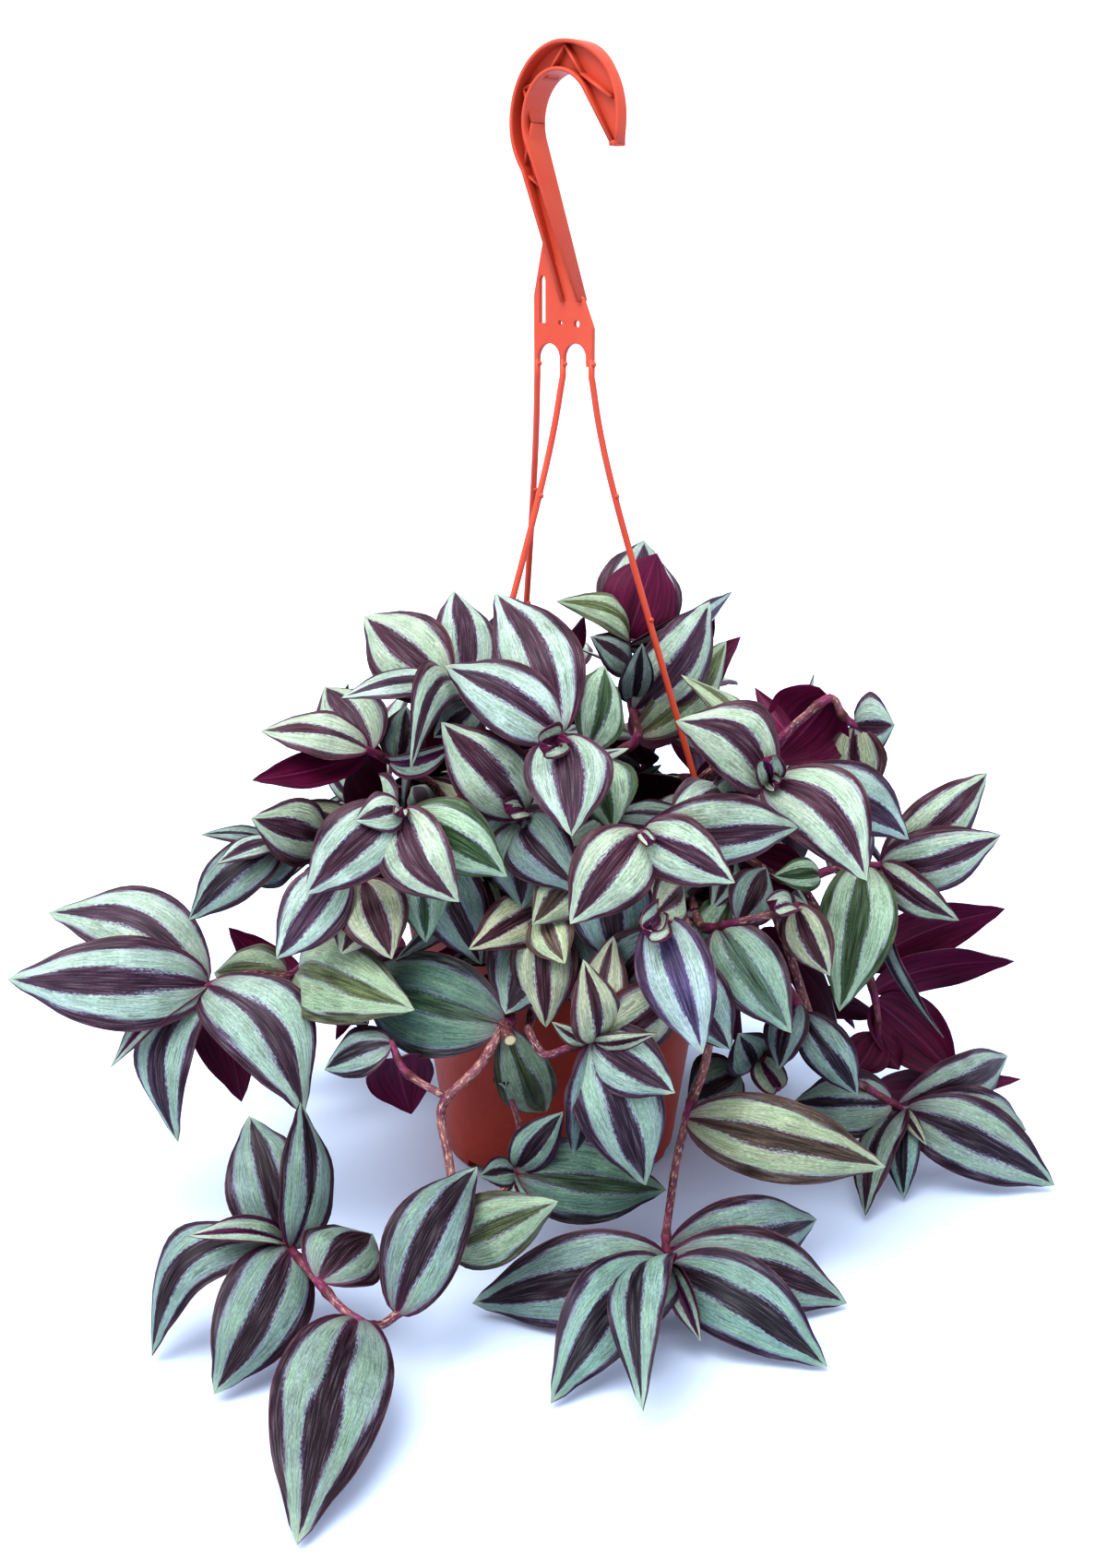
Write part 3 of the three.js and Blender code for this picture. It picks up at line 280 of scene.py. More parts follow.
class Form:
    """A mesh while it is made, in millimetres, with a UV map and what the finishes read from its vertices."""

    UV = "UVMap"
    UV_MM = 10.0
    COLOURS = ("band", "margin", "heart")
    VECTORS = ("measure", "stripe")
    SEAM = 1e-3
    SHARP = math.radians(50)

    def __init__(self, living: bool = False) -> None:
        """Starts an empty mesh.

        Args:
            living: Whether the mesh holds leaves and stems, which keep colours and sizes on their vertices.
        """
        self.mesh = bmesh.new()
        self.uv = self.mesh.loops.layers.uv.new(self.UV)
        if living:
            for name in self.COLOURS:
                self.mesh.verts.layers.float_color.new(name)
            for name in self.VECTORS:
                self.mesh.verts.layers.float_vector.new(name)

    def sweep(
        self, line: Sequence[Vector], sides: int, outline: Callable[[int, float], Vector], across: Vector
    ) -> list[bmesh.types.BMVert]:
        """Adds a closed skin along a line, shut flat at both ends.

        Args:
            line: The points of the line.
            sides: Sides of the section.
            outline: Gives the section's point, as [across, other, 0], for a station and a turn in radians.
            across: The way across the line at its start, which is carried along it.

        Returns:
            The vertices of the skin, row by row, with the closed seam and the two end points at the end.
        """
        last = len(line) - 1
        ways: list[tuple[Vector, Vector]] = []
        for i in range(len(line)):
            along = (line[min(i + 1, last)] - line[max(i - 1, 0)]).normalized()
            across = (across - along * across.dot(along)).normalized()
            ways.append((across, along.cross(across)))
        far = distances(line)
        stations = [0, *range(len(line)), last]
        rows = len(stations) - 1
        made = bmesh.ops.create_grid(self.mesh, x_segments=sides, y_segments=rows, size=0.5)["verts"]
        spots = {vert: (round((vert.co.x + 0.5) * sides), round((vert.co.y + 0.5) * rows)) for vert in made}
        faces = {face for vert in made for face in vert.link_faces}
        for face in faces:
            rows_met = {spots[vert][1] for vert in face.verts}
            face.smooth = not rows_met & {0, rows}
            for loop in face.loops:
                column, row = spots[loop.vert]
                loop[self.uv].uv = (column / sides, far[stations[row]] / self.UV_MM)
        for vert, (column, row) in spots.items():
            station = stations[row]
            here = line[station]
            if 0 < row < rows:
                point = outline(station, 2 * math.pi * (column % sides) / sides)
                here = here + ways[station][0] * point.x + ways[station][1] * point.y
            vert.co = here
        bmesh.ops.remove_doubles(self.mesh, verts=made, dist=self.SEAM)
        kept = [vert for vert in made if vert.is_valid]
        skin = {face for vert in kept for face in vert.link_faces}
        bmesh.ops.recalc_face_normals(self.mesh, faces=list(skin))
        return kept

    def spun(self, profile: Sequence[Flat], steps: int) -> list[bmesh.types.BMVert]:
        """Adds a closed form turned about the pot's axis.

        Args:
            profile: Its outline as [radius, z], from the axis and back to the axis.
            steps: Steps of the turn.

        Returns:
            The vertices of the form.
        """
        chain = [self.mesh.verts.new((radius, 0.0, z)) for radius, z in profile]
        links = [self.mesh.edges.new(pair) for pair in zip(chain, chain[1:])]
        bmesh.ops.spin(
            self.mesh, geom=[*chain, *links], axis=UP, angle=2 * math.pi, steps=steps, use_merge=True
        )
        bmesh.ops.remove_doubles(self.mesh, verts=self.mesh.verts, dist=self.SEAM)
        bmesh.ops.recalc_face_normals(self.mesh, faces=self.mesh.faces)
        for face in self.mesh.faces:
            face.smooth = True
        return list(self.mesh.verts)

    def round_off(self, edges: Sequence[bmesh.types.BMEdge], reach: float, steps: int) -> None:
        """Rounds edges off, as far back as the reach says, in so many steps."""
        how = {"offset": reach, "offset_type": "OFFSET", "segments": steps, "profile": 0.5, "affect": "EDGES"}
        bmesh.ops.bevel(self.mesh, geom=edges, clamp_overlap=True, material=-1, **how)

    def plate(
        self, outline: Sequence[Flat], holes: Sequence[Sequence[Flat]], thick: float, worn: float
    ) -> None:
        """Adds a flat plate in the plane of the hook.

        Args:
            outline: Its outline as [x, z].
            holes: The outlines of its holes.
            thick: Its thickness, half on each side of the plane.
            worn: How far its edges are rounded.
        """
        rims = []
        for loop in (outline, *holes):
            ring = [self.mesh.verts.new((x, thick / 2, z)) for x, z in loop]
            rims += [self.mesh.edges.new((a, b)) for a, b in zip(ring, [*ring[1:], ring[0]])]
        filled = bmesh.ops.triangle_fill(self.mesh, use_beauty=True, use_dissolve=False, edges=rims)
        faces = [part for part in filled["geom"] if isinstance(part, bmesh.types.BMFace)]
        grown = bmesh.ops.extrude_face_region(self.mesh, geom=faces, use_keep_orig=True)
        verts = [part for part in grown["geom"] if isinstance(part, bmesh.types.BMVert)]
        bmesh.ops.translate(self.mesh, verts=verts, vec=(0.0, -thick, 0.0))
        whole = {face for vert in verts for edge in vert.link_edges for face in edge.link_faces}
        whole |= set(faces)
        bmesh.ops.recalc_face_normals(self.mesh, faces=list(whole))
        sharp = {edge for face in whole for edge in face.edges if edge.calc_face_angle(0.0) > self.SHARP}
        self.round_off(list(sharp), worn, 2)

    def piece(
        self, name: str, nodes: Sequence[str], slot: str, finishes: Sequence[bpy.types.Material]
    ) -> bpy.types.Object:
        """Turns the form into a piece of the object, in metres.

        Args:
            name: The piece's name.
            nodes: The construction nodes that it stands for.
            slot: The record's material slot; it is not used.
            finishes: Its materials, in the order of the faces' material numbers.

        Returns:
            The finished piece.
        """
        bmesh.ops.scale(self.mesh, vec=(MM, MM, MM), verts=self.mesh.verts)
        data = bpy.data.meshes.new(name)
        self.mesh.to_mesh(data)
        self.mesh.free()
        for finish in finishes:
            data.materials.append(finish)
        piece = bpy.data.objects.new(name, data)
        bpy.context.scene.collection.objects.link(piece)
        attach(piece, "root")
        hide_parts(*nodes)
        triangles = sum(len(polygon.vertices) - 2 for polygon in data.polygons)
        LOG.info("%s: %d triangles", name, triangles)
        return piece


# Finishes


@dataclass(frozen=True)
class Finish:
    """What all finishes share: one material with one lit surface."""

    name: str

    def surface(self, add: Adder) -> Inputs:
        """Gives the inputs of the surface, where add puts a node in the material."""
        raise NotImplementedError

    def make(self) -> bpy.types.Material:
        """Makes the material.

        Returns:
            The material.
        """
        material = bpy.data.materials.new(self.name)
        material.use_nodes = True
        material.node_tree.nodes.clear()
        add = partial(add_node, material.node_tree)
        lit = add("ShaderNodeBsdfPrincipled", self.surface(add))
        add("ShaderNodeOutputMaterial", {"Surface": lit[0]})
        return material


@dataclass(frozen=True)
class MouldedPlastic(Finish):
    """Polypropylene, injection moulded: an even body colour, a satin skin and the faint grain of the tool."""

    colour: str
    worn: str
    roughness: float
    patch_mm: float = 26.0
    grain_mm: float = 0.9
    dust: float = 0.0
    dusty: str = "D9B6A2"

    def surface(self, add: Adder) -> Inputs:
        """Clouds the colour over tens of millimetres, with dust and a grain under the gloss.

        Args:
            add: Puts a node in the material.

        Returns:
            The inputs of the surface.
        """
        place = add(WHERE)["Object"]
        cloud, grain = (
            add(NOISE, {"Vector": place, "Scale": 1 / (size * MM), "Detail": fine, "Roughness": rough})["Fac"]
            for size, fine, rough in ((self.patch_mm, 4.0, 0.62), (self.grain_mm, 2.0, 0.5))
        )
        colour = linear(self.colour)
        for share, other in (
            (add(RANGE, (cloud, 0.35, 0.7))[0], self.worn),
            (add(RANGE, (grain, 0.6, 0.78, 0.0, self.dust))[0], self.dusty),
        ):
            colour = add(MIX, {0: share, 6: colour, 7: linear(other)}, **BLEND)[2]
        return {
            "Base Color": colour,
            "Roughness": add(RANGE, (cloud, 0.0, 1.0, self.roughness - 0.06, self.roughness + 0.08))[0],
            "IOR": 1.38,
            "Normal": add(BUMP, {"Height": grain, "Strength": 0.25, "Distance": 0.06 * MM})[0],
        }


@dataclass(frozen=True)
class Peat(Finish):
    """Peat compost, crumbled and damp: near black, with browner fibres that catch a little light."""

    name: str = "peat_compost_crumbled"
    damp: str = "1E1611"
    fibre: str = "5A4433"
    crumb_mm: float = 1.6

    def surface(self, add: Adder) -> Inputs:
        """Speckles it at the size of a crumb, quite dull.

        Args:
            add: Puts a node in the material.

        Returns:
            The inputs of the surface.
        """
        place = add(WHERE)["Object"]
        size = 1 / (self.crumb_mm * MM)
        crumbs = add(NOISE, {"Vector": place, "Scale": size, "Detail": 5.0, "Roughness": 0.7})["Fac"]
        share = add(RANGE, (crumbs, 0.42, 0.74))[0]
        return {
            "Base Color": add(MIX, {0: share, 6: linear(self.damp), 7: linear(self.fibre)}, **BLEND)[2],
            "Roughness": 0.92,
            "Normal": add(BUMP, {"Height": crumbs, "Strength": 0.9, "Distance": 0.8 * MM})[0],
        }


@dataclass(frozen=True)
class LeafSkin(Finish):
    """What both skins of a leaf share: patterns that run along the leaf in real millimetres.

    A grain is given as its size across the leaf, its size along the leaf and its finer layers.
    """

    def start(self, add: Adder) -> tuple[Socket, Socket, Socket]:
        """Reads where a point is on its own leaf.

        Args:
            add: Puts a node in the material.

        Returns:
            The place across the leaf from -1 to 1, the same in millimetres, and the point in millimetres.
        """
        x, y, _ = add(SPLIT, (add("ShaderNodeUVMap", uv_map=Form.UV)["UV"],))
        half_width, long, own = add(SPLIT, (add(STORED, attribute_name="measure")["Vector"],))
        across = add(MATH, (x, 2.0, -1.0), operation="MULTIPLY_ADD")[0]
        lane = add(MATH, (across, half_width), operation="MULTIPLY")[0]
        run = add(MATH, (y, long), operation="MULTIPLY")[0]
        return across, lane, add("ShaderNodeCombineXYZ", (lane, run, own))[0]

    def grain(self, add: Adder, spot: Socket, wide: float, long: float, detail: float) -> Socket:
        """Makes a grain that is drawn out along the leaf, from 0 to 1 and near 0.5.

        Args:
            add: Puts a node in the material.
            spot: The point on the leaf in millimetres.
            wide: Size of the grain across the leaf.
            long: Size of the grain along the leaf.
            detail: How many finer layers it has.

        Returns:
            The grain.
        """
        stretch, apart = (1 / wide, 1 / long, 1.0), (0.0, 0.0, 100 * wide)
        at = add(VECTOR, (spot, stretch, apart), operation="MULTIPLY_ADD")[0]
        return add(NOISE, {"Vector": at, "Scale": 1.0, "Detail": detail})["Fac"]


@dataclass(frozen=True)
class LeafUpperSkin(LeafSkin):
    """Upper skin of a living leaf: air under the skin makes the bands pearly, and veins run base to tip.

    The bands end raggedly, cell by cell, in a lilac fringe, and sap tinges them green in long patches.
    Thin dark threads run in the bands, where a vein shows through.
    """

    name: str = "leaf_upper_skin_pearly"
    drift: Spot = (10.0, 32.0, 0.0)
    veins: Spot = (1.3, 16.0, 2.0)
    cells: Spot = (0.42, 1.5, 1.0)
    threads: Spot = (0.62, 11.0, 0.0)
    tinge: Spot = (3.2, 24.0, 1.0)
    cloud_mm: float = 22.0
    wander: float = 0.36
    ragged: float = 0.18
    nibbled: float = 0.14
    blur: float = 0.045
    fringe: float = 0.08
    lilac: str = "8E86AE"
    flush: str = "6E2850"
    rim: str = "5E3A42"
    sap: str = "7E9C80"
    soot: str = "140812"
    # Colour of the painted sheen: pale streaks on the dark heart and margin stand in for soft highlights.
    sheen: str = "8E9490"

    def surface(self, add: Adder) -> Inputs:
        """Paints the leaf from its own UV map and the colours kept on its vertices.

        Args:
            add: Puts a node in the material.

        Returns:
            The inputs of the surface.
        """
        across, lane, spot = self.start(add)
        off = add(MATH, (across,), operation="ABSOLUTE")[0]
        drift, veins, cells, threads, tinge = (
            self.grain(add, spot, *size)
            for size in (self.drift, self.veins, self.cells, self.threads, self.tinge)
        )
        *edges, flush = add(SPLIT, (add(STORED, attribute_name="stripe")["Vector"],))
        colours = {part: add(STORED, attribute_name=part)["Color"] for part in Form.COLOURS}
        torn = off
        for grain, amount in ((drift, self.wander), (veins, self.ragged), (cells, self.nibbled)):
            centred = add(MATH, (grain, amount, -amount / 2), operation="MULTIPLY_ADD")[0]
            torn = add(MATH, (torn, centred), operation="ADD")[0]
        past = [add(MATH, (torn, edge), operation="SUBTRACT")[0] for edge in edges]

        streak = add(RANGE, (veins, 0.4, 0.75, 0.0, 0.66), **SOFT)[0]
        # Where the painted sheen lies: pale streaks along the threads of the heart and margin.
        painted_sheen = add(RANGE, (threads, 0.4, 0.85, 0.0, 0.17), **SOFT)[0]
        sappy = add(RANGE, (tinge, 0.42, 0.66, 0.0, 0.36), **SOFT)[0]
        # Sap and the dark streaks are the leaf's own colours; the pale streaks mixed into heart and margin
        # are painted sheen.
        for part, share, other in (
            ("band", sappy, self.sap),
            ("heart", painted_sheen, self.sheen),
            ("heart", streak, self.soot),
            ("margin", painted_sheen, self.sheen),
            ("margin", streak, self.soot),
        ):
            colours[part] = add(MIX, {0: share, 6: colours[part], 7: linear(other)}, **BLEND)[2]
        coats = [
            (add(RANGE, (beyond, -self.blur, self.blur), **SOFT)[0], colours[part])
            for beyond, part in zip(past, ("band", "margin"))
        ]
        for beyond in past:
            near = add(MATH, (beyond,), operation="ABSOLUTE")[0]
            coats.append((add(RANGE, (near, 0.0, self.fringe, 0.22, 0.0), **SOFT)[0], linear(self.lilac)))
        coats.append((add(RANGE, (off, 0.965, 0.99, 0.0, 0.7), **SOFT)[0], linear(self.rim)))
        coats.append((flush, linear(self.flush)))
        colour = colours["heart"]
        for share, other in coats:
            colour = add(MIX, {0: share, 6: colour, 7: other}, **BLEND)[2]

        place = add(WHERE)["Object"]
        cloud = add(NOISE, {"Vector": place, "Scale": 1 / (self.cloud_mm * MM), "Detail": 2.0})["Fac"]
        midrib = add(MATH, (lane,), operation="ABSOLUTE")[0]
        thread = add(RANGE, (threads, 0.58, 0.7, 0.0, 0.46), **SOFT)[0]
        for beyond, reach in zip(past, (0.05, -0.05)):
            inside = add(RANGE, (beyond, 0.0, reach), **SOFT)[0]
            thread = add(MATH, (thread, inside), operation="MULTIPLY")[0]
        light = add(MATH, (1.0, thread), operation="SUBTRACT")[0]
        for shade in (
            (threads, 0.25, 0.7, 0.74, 1.16),
            (cells, 0.25, 0.75, 0.8, 1.2),
            (midrib, 0.08, 0.5, 0.55, 1.0),
            (cloud, 0.3, 0.7, 0.84, 1.1),
        ):
            light = add(MATH, (light, add(RANGE, shade, **SOFT)[0]), operation="MULTIPLY")[0]
        height = add(MATH, (cells, 0.3, veins), operation="MULTIPLY_ADD")[0]
        return {
            "Base Color": add(VECTOR, {0: colour, "Scale": light}, operation="SCALE")[0],
            "Roughness": add(RANGE, (cells, 0.0, 1.0, 0.34, 0.56))[0],
            "IOR": 1.3,
            "Normal": add(BUMP, {"Height": height, "Strength": 0.55, "Distance": 0.4 * MM})[0],
        }


@dataclass(frozen=True)
class LeafUnderSkin(LeafSkin):
    """Under skin of a living leaf: magenta to the eye, with finer, paler veins and a soft violet bloom."""

    name: str = "leaf_under_skin_magenta"
    veins: Spot = (1.3, 22.0, 2.0)
    cells: Spot = (0.4, 1.2, 1.0)
    deep: str = "3C0826"
    bright: str = "671442"
    rib: str = "7C3A5E"
    sheen: str = "C98FD0"

    def surface(self, add: Adder) -> Inputs:
        """Paints the leaf from its own UV map and its size kept on the vertices.

        Args:
            add: Puts a node in the material.

        Returns:
            The inputs of the surface.
        """
        _, lane, spot = self.start(add)
        veins, cells = (self.grain(add, spot, *size) for size in (self.veins, self.cells))
        near = add(MATH, (lane,), operation="ABSOLUTE")[0]
        colour = linear(self.deep)
        for share, other in (
            (add(RANGE, (veins, 0.3, 0.75))[0], self.bright),
            (add(RANGE, (near, 0.15, 0.6, 0.5, 0.0), **SOFT)[0], self.rib),
        ):
            colour = add(MIX, {0: share, 6: colour, 7: linear(other)}, **BLEND)[2]
        light = add(RANGE, (cells, 0.25, 0.75, 0.82, 1.2))[0]
        return {
            "Base Color": add(VECTOR, {0: colour, "Scale": light}, operation="SCALE")[0],
            "Roughness": 0.46,
            "IOR": 1.3,
            "Sheen Weight": 0.12,
            "Sheen Roughness": 0.4,
            "Sheen Tint": linear(self.sheen),
            "Normal": add(BUMP, {"Height": veins, "Strength": 0.45, "Distance": 0.3 * MM})[0],
        }


@dataclass(frozen=True)
class StemSkin(Finish):
    """Skin of a creeping herb's stem: purplish, with pale long flecks where it is old, smooth where young."""

    name: str = "stem_skin_flecked"
    old: str = "845A5C"
    dark: str = "5A3046"
    fleck: str = "C0A892"
    young: str = "6E2450"
    knee: str = "4A2C26"
    pith: str = "C8C49A"
    fleck_mm: Flat = (0.9, 2.6)
    girth_mm: float = 11.0
    cloud_mm: float = 9.0

    def surface(self, add: Adder) -> Inputs:
        """Paints the stem: UV runs round and along it, and its age is kept on the vertices.

        Args:
            add: Puts a node in the material.

        Returns:
            The inputs of the surface.
        """
        uv = add("ShaderNodeUVMap", uv_map=Form.UV)["UV"]
        stretch = (self.girth_mm / self.fleck_mm[0], Form.UV_MM / self.fleck_mm[1], 1.0)
        spot = add(VECTOR, (uv, stretch), operation="MULTIPLY")[0]
        flecks = add(NOISE, {"Vector": spot, "Scale": 1.0, "Detail": 3.0, "Roughness": 0.6})["Fac"]
        place = add(WHERE)["Object"]
        cloud = add(NOISE, {"Vector": place, "Scale": 1 / (self.cloud_mm * MM), "Detail": 2.0})["Fac"]
        youth, knee, bared = add(SPLIT, (add(STORED, attribute_name="stripe")["Vector"],))
        colour = linear(self.dark)
        for share, other in (
            (add(RANGE, (cloud, 0.35, 0.65))[0], self.old),
            (add(RANGE, (flecks, 0.5, 0.64, 0.0, 0.7), **SOFT)[0], self.fleck),
            (youth, self.young),
            (knee, self.knee),
            (bared, self.pith),
        ):
            colour = add(MIX, {0: share, 6: colour, 7: linear(other)}, **BLEND)[2]
        return {
            "Base Color": colour,
            "Roughness": 0.45,
            "IOR": 1.3,
            "Normal": add(BUMP, {"Height": flecks, "Strength": 0.5, "Distance": 0.3 * MM})[0],
        }


@dataclass(frozen=True)
class PaleTop(Finish):
    """Painted board, rolled matt white: an even pale ground that takes soft shadows."""

    name: str = "painted_board_matt_white"
    colour: str = "C8D8F0"
    mottle_mm: float = 4.0

    def surface(self, add: Adder) -> Inputs:
        """Gives it a roller's barely seen mottle."""
        mottle = add(NOISE, {"Vector": add(WHERE)["Object"], "Scale": 1 / (self.mottle_mm * MM)})["Fac"]
        return {"Base Color": linear(self.colour), "Roughness": add(RANGE, (mottle, 0.0, 1.0, 0.7, 0.85))[0]}


# Pot, soil and hanger


@dataclass
class Pot:
    """The moulded pot: a tapered wall, a stepped lip, a mould line near the foot, and drain notches."""

    height: float = 120.0
    base_radius: float = 49.0
    top_radius: float = 66.5
    lip_radius: float = 70.0
    lip_height: float = 8.0
    wall: float = 1.5
    floor: float = 2.0
    foot: float = 1.2
    steps: int = 240
    mould_line: float = 9.0
    mould_ridge: float = 0.22
    mould_rise: Spot = (0.3, 0.9, 1.3)
    notch_count: int = 6
    notch_height: float = 4.0
    notch_wide: float = 17.0
    notch_deep: float = 7.0
    notch_skin: float = 1.6
    notch_clear: Flat = (0.02, 0.05)
    drain: float = 5.0
    drain_half: float = 1.5
    waist: float = 60.0
    turn_in: float = 0.3
    lip_round: float = 1.2
    lip_flat: float = 3.0
    throat: float = 2.0
    inner_rise: float = 6.0
    edge_round: float = 0.45
    edge_steps: int = 3
    finish: MouldedPlastic = MouldedPlastic(
        "polypropylene_terracotta_satin", "9A3C2A", "8A3424", 0.42, dust=0.08
    )

    NEAR = 0.1
    SAME = 1e-3
    LANE = 1.0
    ROUNDED = math.radians(25)
    CREASED = math.radians(35)

    def radius_at(self, z: float) -> float:
        """Gives the radius of the outside of the wall at a height."""
        return lerp(self.base_radius, self.top_radius, z / self.lip_foot)

    @property
    def lip_foot(self) -> float:
        """The height at which the lip starts."""
        return self.height - self.lip_height

    @property
    def ledge(self) -> float:
        """The radius at which a notch starts."""
        return self.base_radius - self.notch_deep

    @property
    def drain_radius(self) -> float:
        """The radius at which the drains are."""
        return self.base_radius - self.notch_deep / 2

    @property
    def step(self) -> float:
        """The height of the steps that the notches make inside the pot."""
        return self.notch_height + self.notch_skin

    def profile(self) -> list[Flat]:
        """Draws the outline of the wall.

        Returns:
            Its points, up the outside, over the lip and down the inside.
        """
        lip_foot, line, step = self.lip_foot, self.mould_line, self.step
        low, high, end = (line + rise for rise in self.mould_rise)
        ridge = self.radius_at(line) + self.mould_ridge
        bend = step + self.inner_rise
        out, up = self.notch_clear
        drain = (self.drain_radius - self.drain_half, self.drain_radius + self.drain_half)
        inner = self.ledge - self.notch_skin
        outside = [
            (0.0, 0.0),
            (self.ledge - self.turn_in, 0.0),
            (self.ledge, 0.0),
            (drain[0], 0.0),
            (drain[1], 0.0),
            (self.base_radius - self.foot, 0.0),
            (self.base_radius, self.foot),
            (self.radius_at(self.notch_height) + out, self.notch_height + up),
            (self.radius_at(line), line),
            (ridge, low),
            (ridge, high),
            (self.radius_at(end), end),
            (self.radius_at(self.waist), self.waist),
            (self.radius_at(lip_foot), lip_foot),
        ]
        lip = [
            (self.lip_radius, lip_foot),
            (self.lip_radius, self.height - self.lip_round),
            (self.lip_radius - self.lip_round, self.height),
            (self.lip_radius - self.lip_flat, self.height),
        ]
        inside = [
            (self.top_radius - self.wall, lip_foot - self.throat),
            (self.radius_at(self.waist) - self.wall, self.waist),
            (self.radius_at(bend) - self.wall, bend),
            (self.base_radius - self.wall, self.floor),
            (drain[1], self.floor),
            (drain[0], self.floor),
            (inner, self.floor),
            (inner - self.turn_in, self.floor),
            (0.0, self.floor),
        ]
        return [*outside, *lip, *inside]

    def cut_notches(self, form: Form) -> None:
        """Raises the foot into notches, each with its step inside the pot, and opens a drain in each.

        Args:
            form: The mesh of the pot.
        """
        reach = math.degrees(self.notch_wide / 2 / self.drain_radius) + self.NEAR
        skin = math.degrees(self.notch_skin / self.base_radius)
        middle, step = self.drain_radius, self.step
        pitch = 360 / self.notch_count

        def aside(point: Vector) -> float:
            """Gives the angle between a point and the middle of the nearest notch."""
            return abs(math.degrees(math.atan2(point.y, point.x)) % pitch - pitch / 2)

        floor_verts = []
        for vert in form.mesh.verts:
            radius, apart = vert.co.xy.length, aside(vert.co)
            beyond = radius > self.ledge - self.NEAR
            if beyond and apart < reach and vert.co.z < self.floor - self.NEAR:
                vert.co.z = self.notch_height
            inner = radius > self.ledge - self.notch_skin - self.NEAR
            if inner and abs(vert.co.z - self.floor) < self.NEAR and apart < reach + skin:
                floor_verts.append(vert)
        for vert in floor_verts:
            radius = vert.co.xy.length
            vert.co.z = step
            if radius > self.base_radius - self.wall - self.NEAR:
                grown = self.radius_at(step) - self.wall
                vert.co.x *= grown / radius
                vert.co.y *= grown / radius
        half_angle = math.degrees(self.drain / 2 / middle)
        opened = []
        for face in form.mesh.faces:
            spot = face.calc_center_median()
            flat = min(abs(spot.z - step), abs(spot.z - self.notch_height)) < self.NEAR
            if flat and abs(spot.xy.length - middle) < self.LANE and aside(spot) < half_angle:
                opened.append(face)
        bmesh.ops.delete(form.mesh, geom=opened, context="FACES")
        for k in range(self.notch_count):
            bearing = math.radians(pitch * (k + 0.5))
            centre = on_circle(bearing, middle) + UP * step
            open_edges = [edge for edge in form.mesh.edges if edge.is_boundary]
            rims = [edge for edge in open_edges if (edge.verts[0].co - centre).length < self.drain]
            bmesh.ops.bridge_loops(form.mesh, edges=rims)

    def build(self) -> bpy.types.Object:
        """Makes the pot.

        Returns:
            The finished piece.
        """
        form = Form()
        form.spun(self.profile(), self.steps)
        self.cut_notches(form)
        bmesh.ops.recalc_face_normals(form.mesh, faces=form.mesh.faces)
        low = self.floor + self.notch_height
        rims = [
            edge
            for edge in form.mesh.edges
            if edge.calc_face_angle(0.0) > self.ROUNDED
            and min(vert.co.z for vert in edge.verts) > low
            and abs(edge.verts[0].co.z - edge.verts[1].co.z) < self.SAME
        ]
        form.round_off(rims, self.edge_round, self.edge_steps)
        for edge in form.mesh.edges:
            edge.smooth = edge.calc_face_angle(0.0) < self.CREASED
        return form.piece("hanging_pot", ["pot"], "pot_plastic", [self.finish.make()])


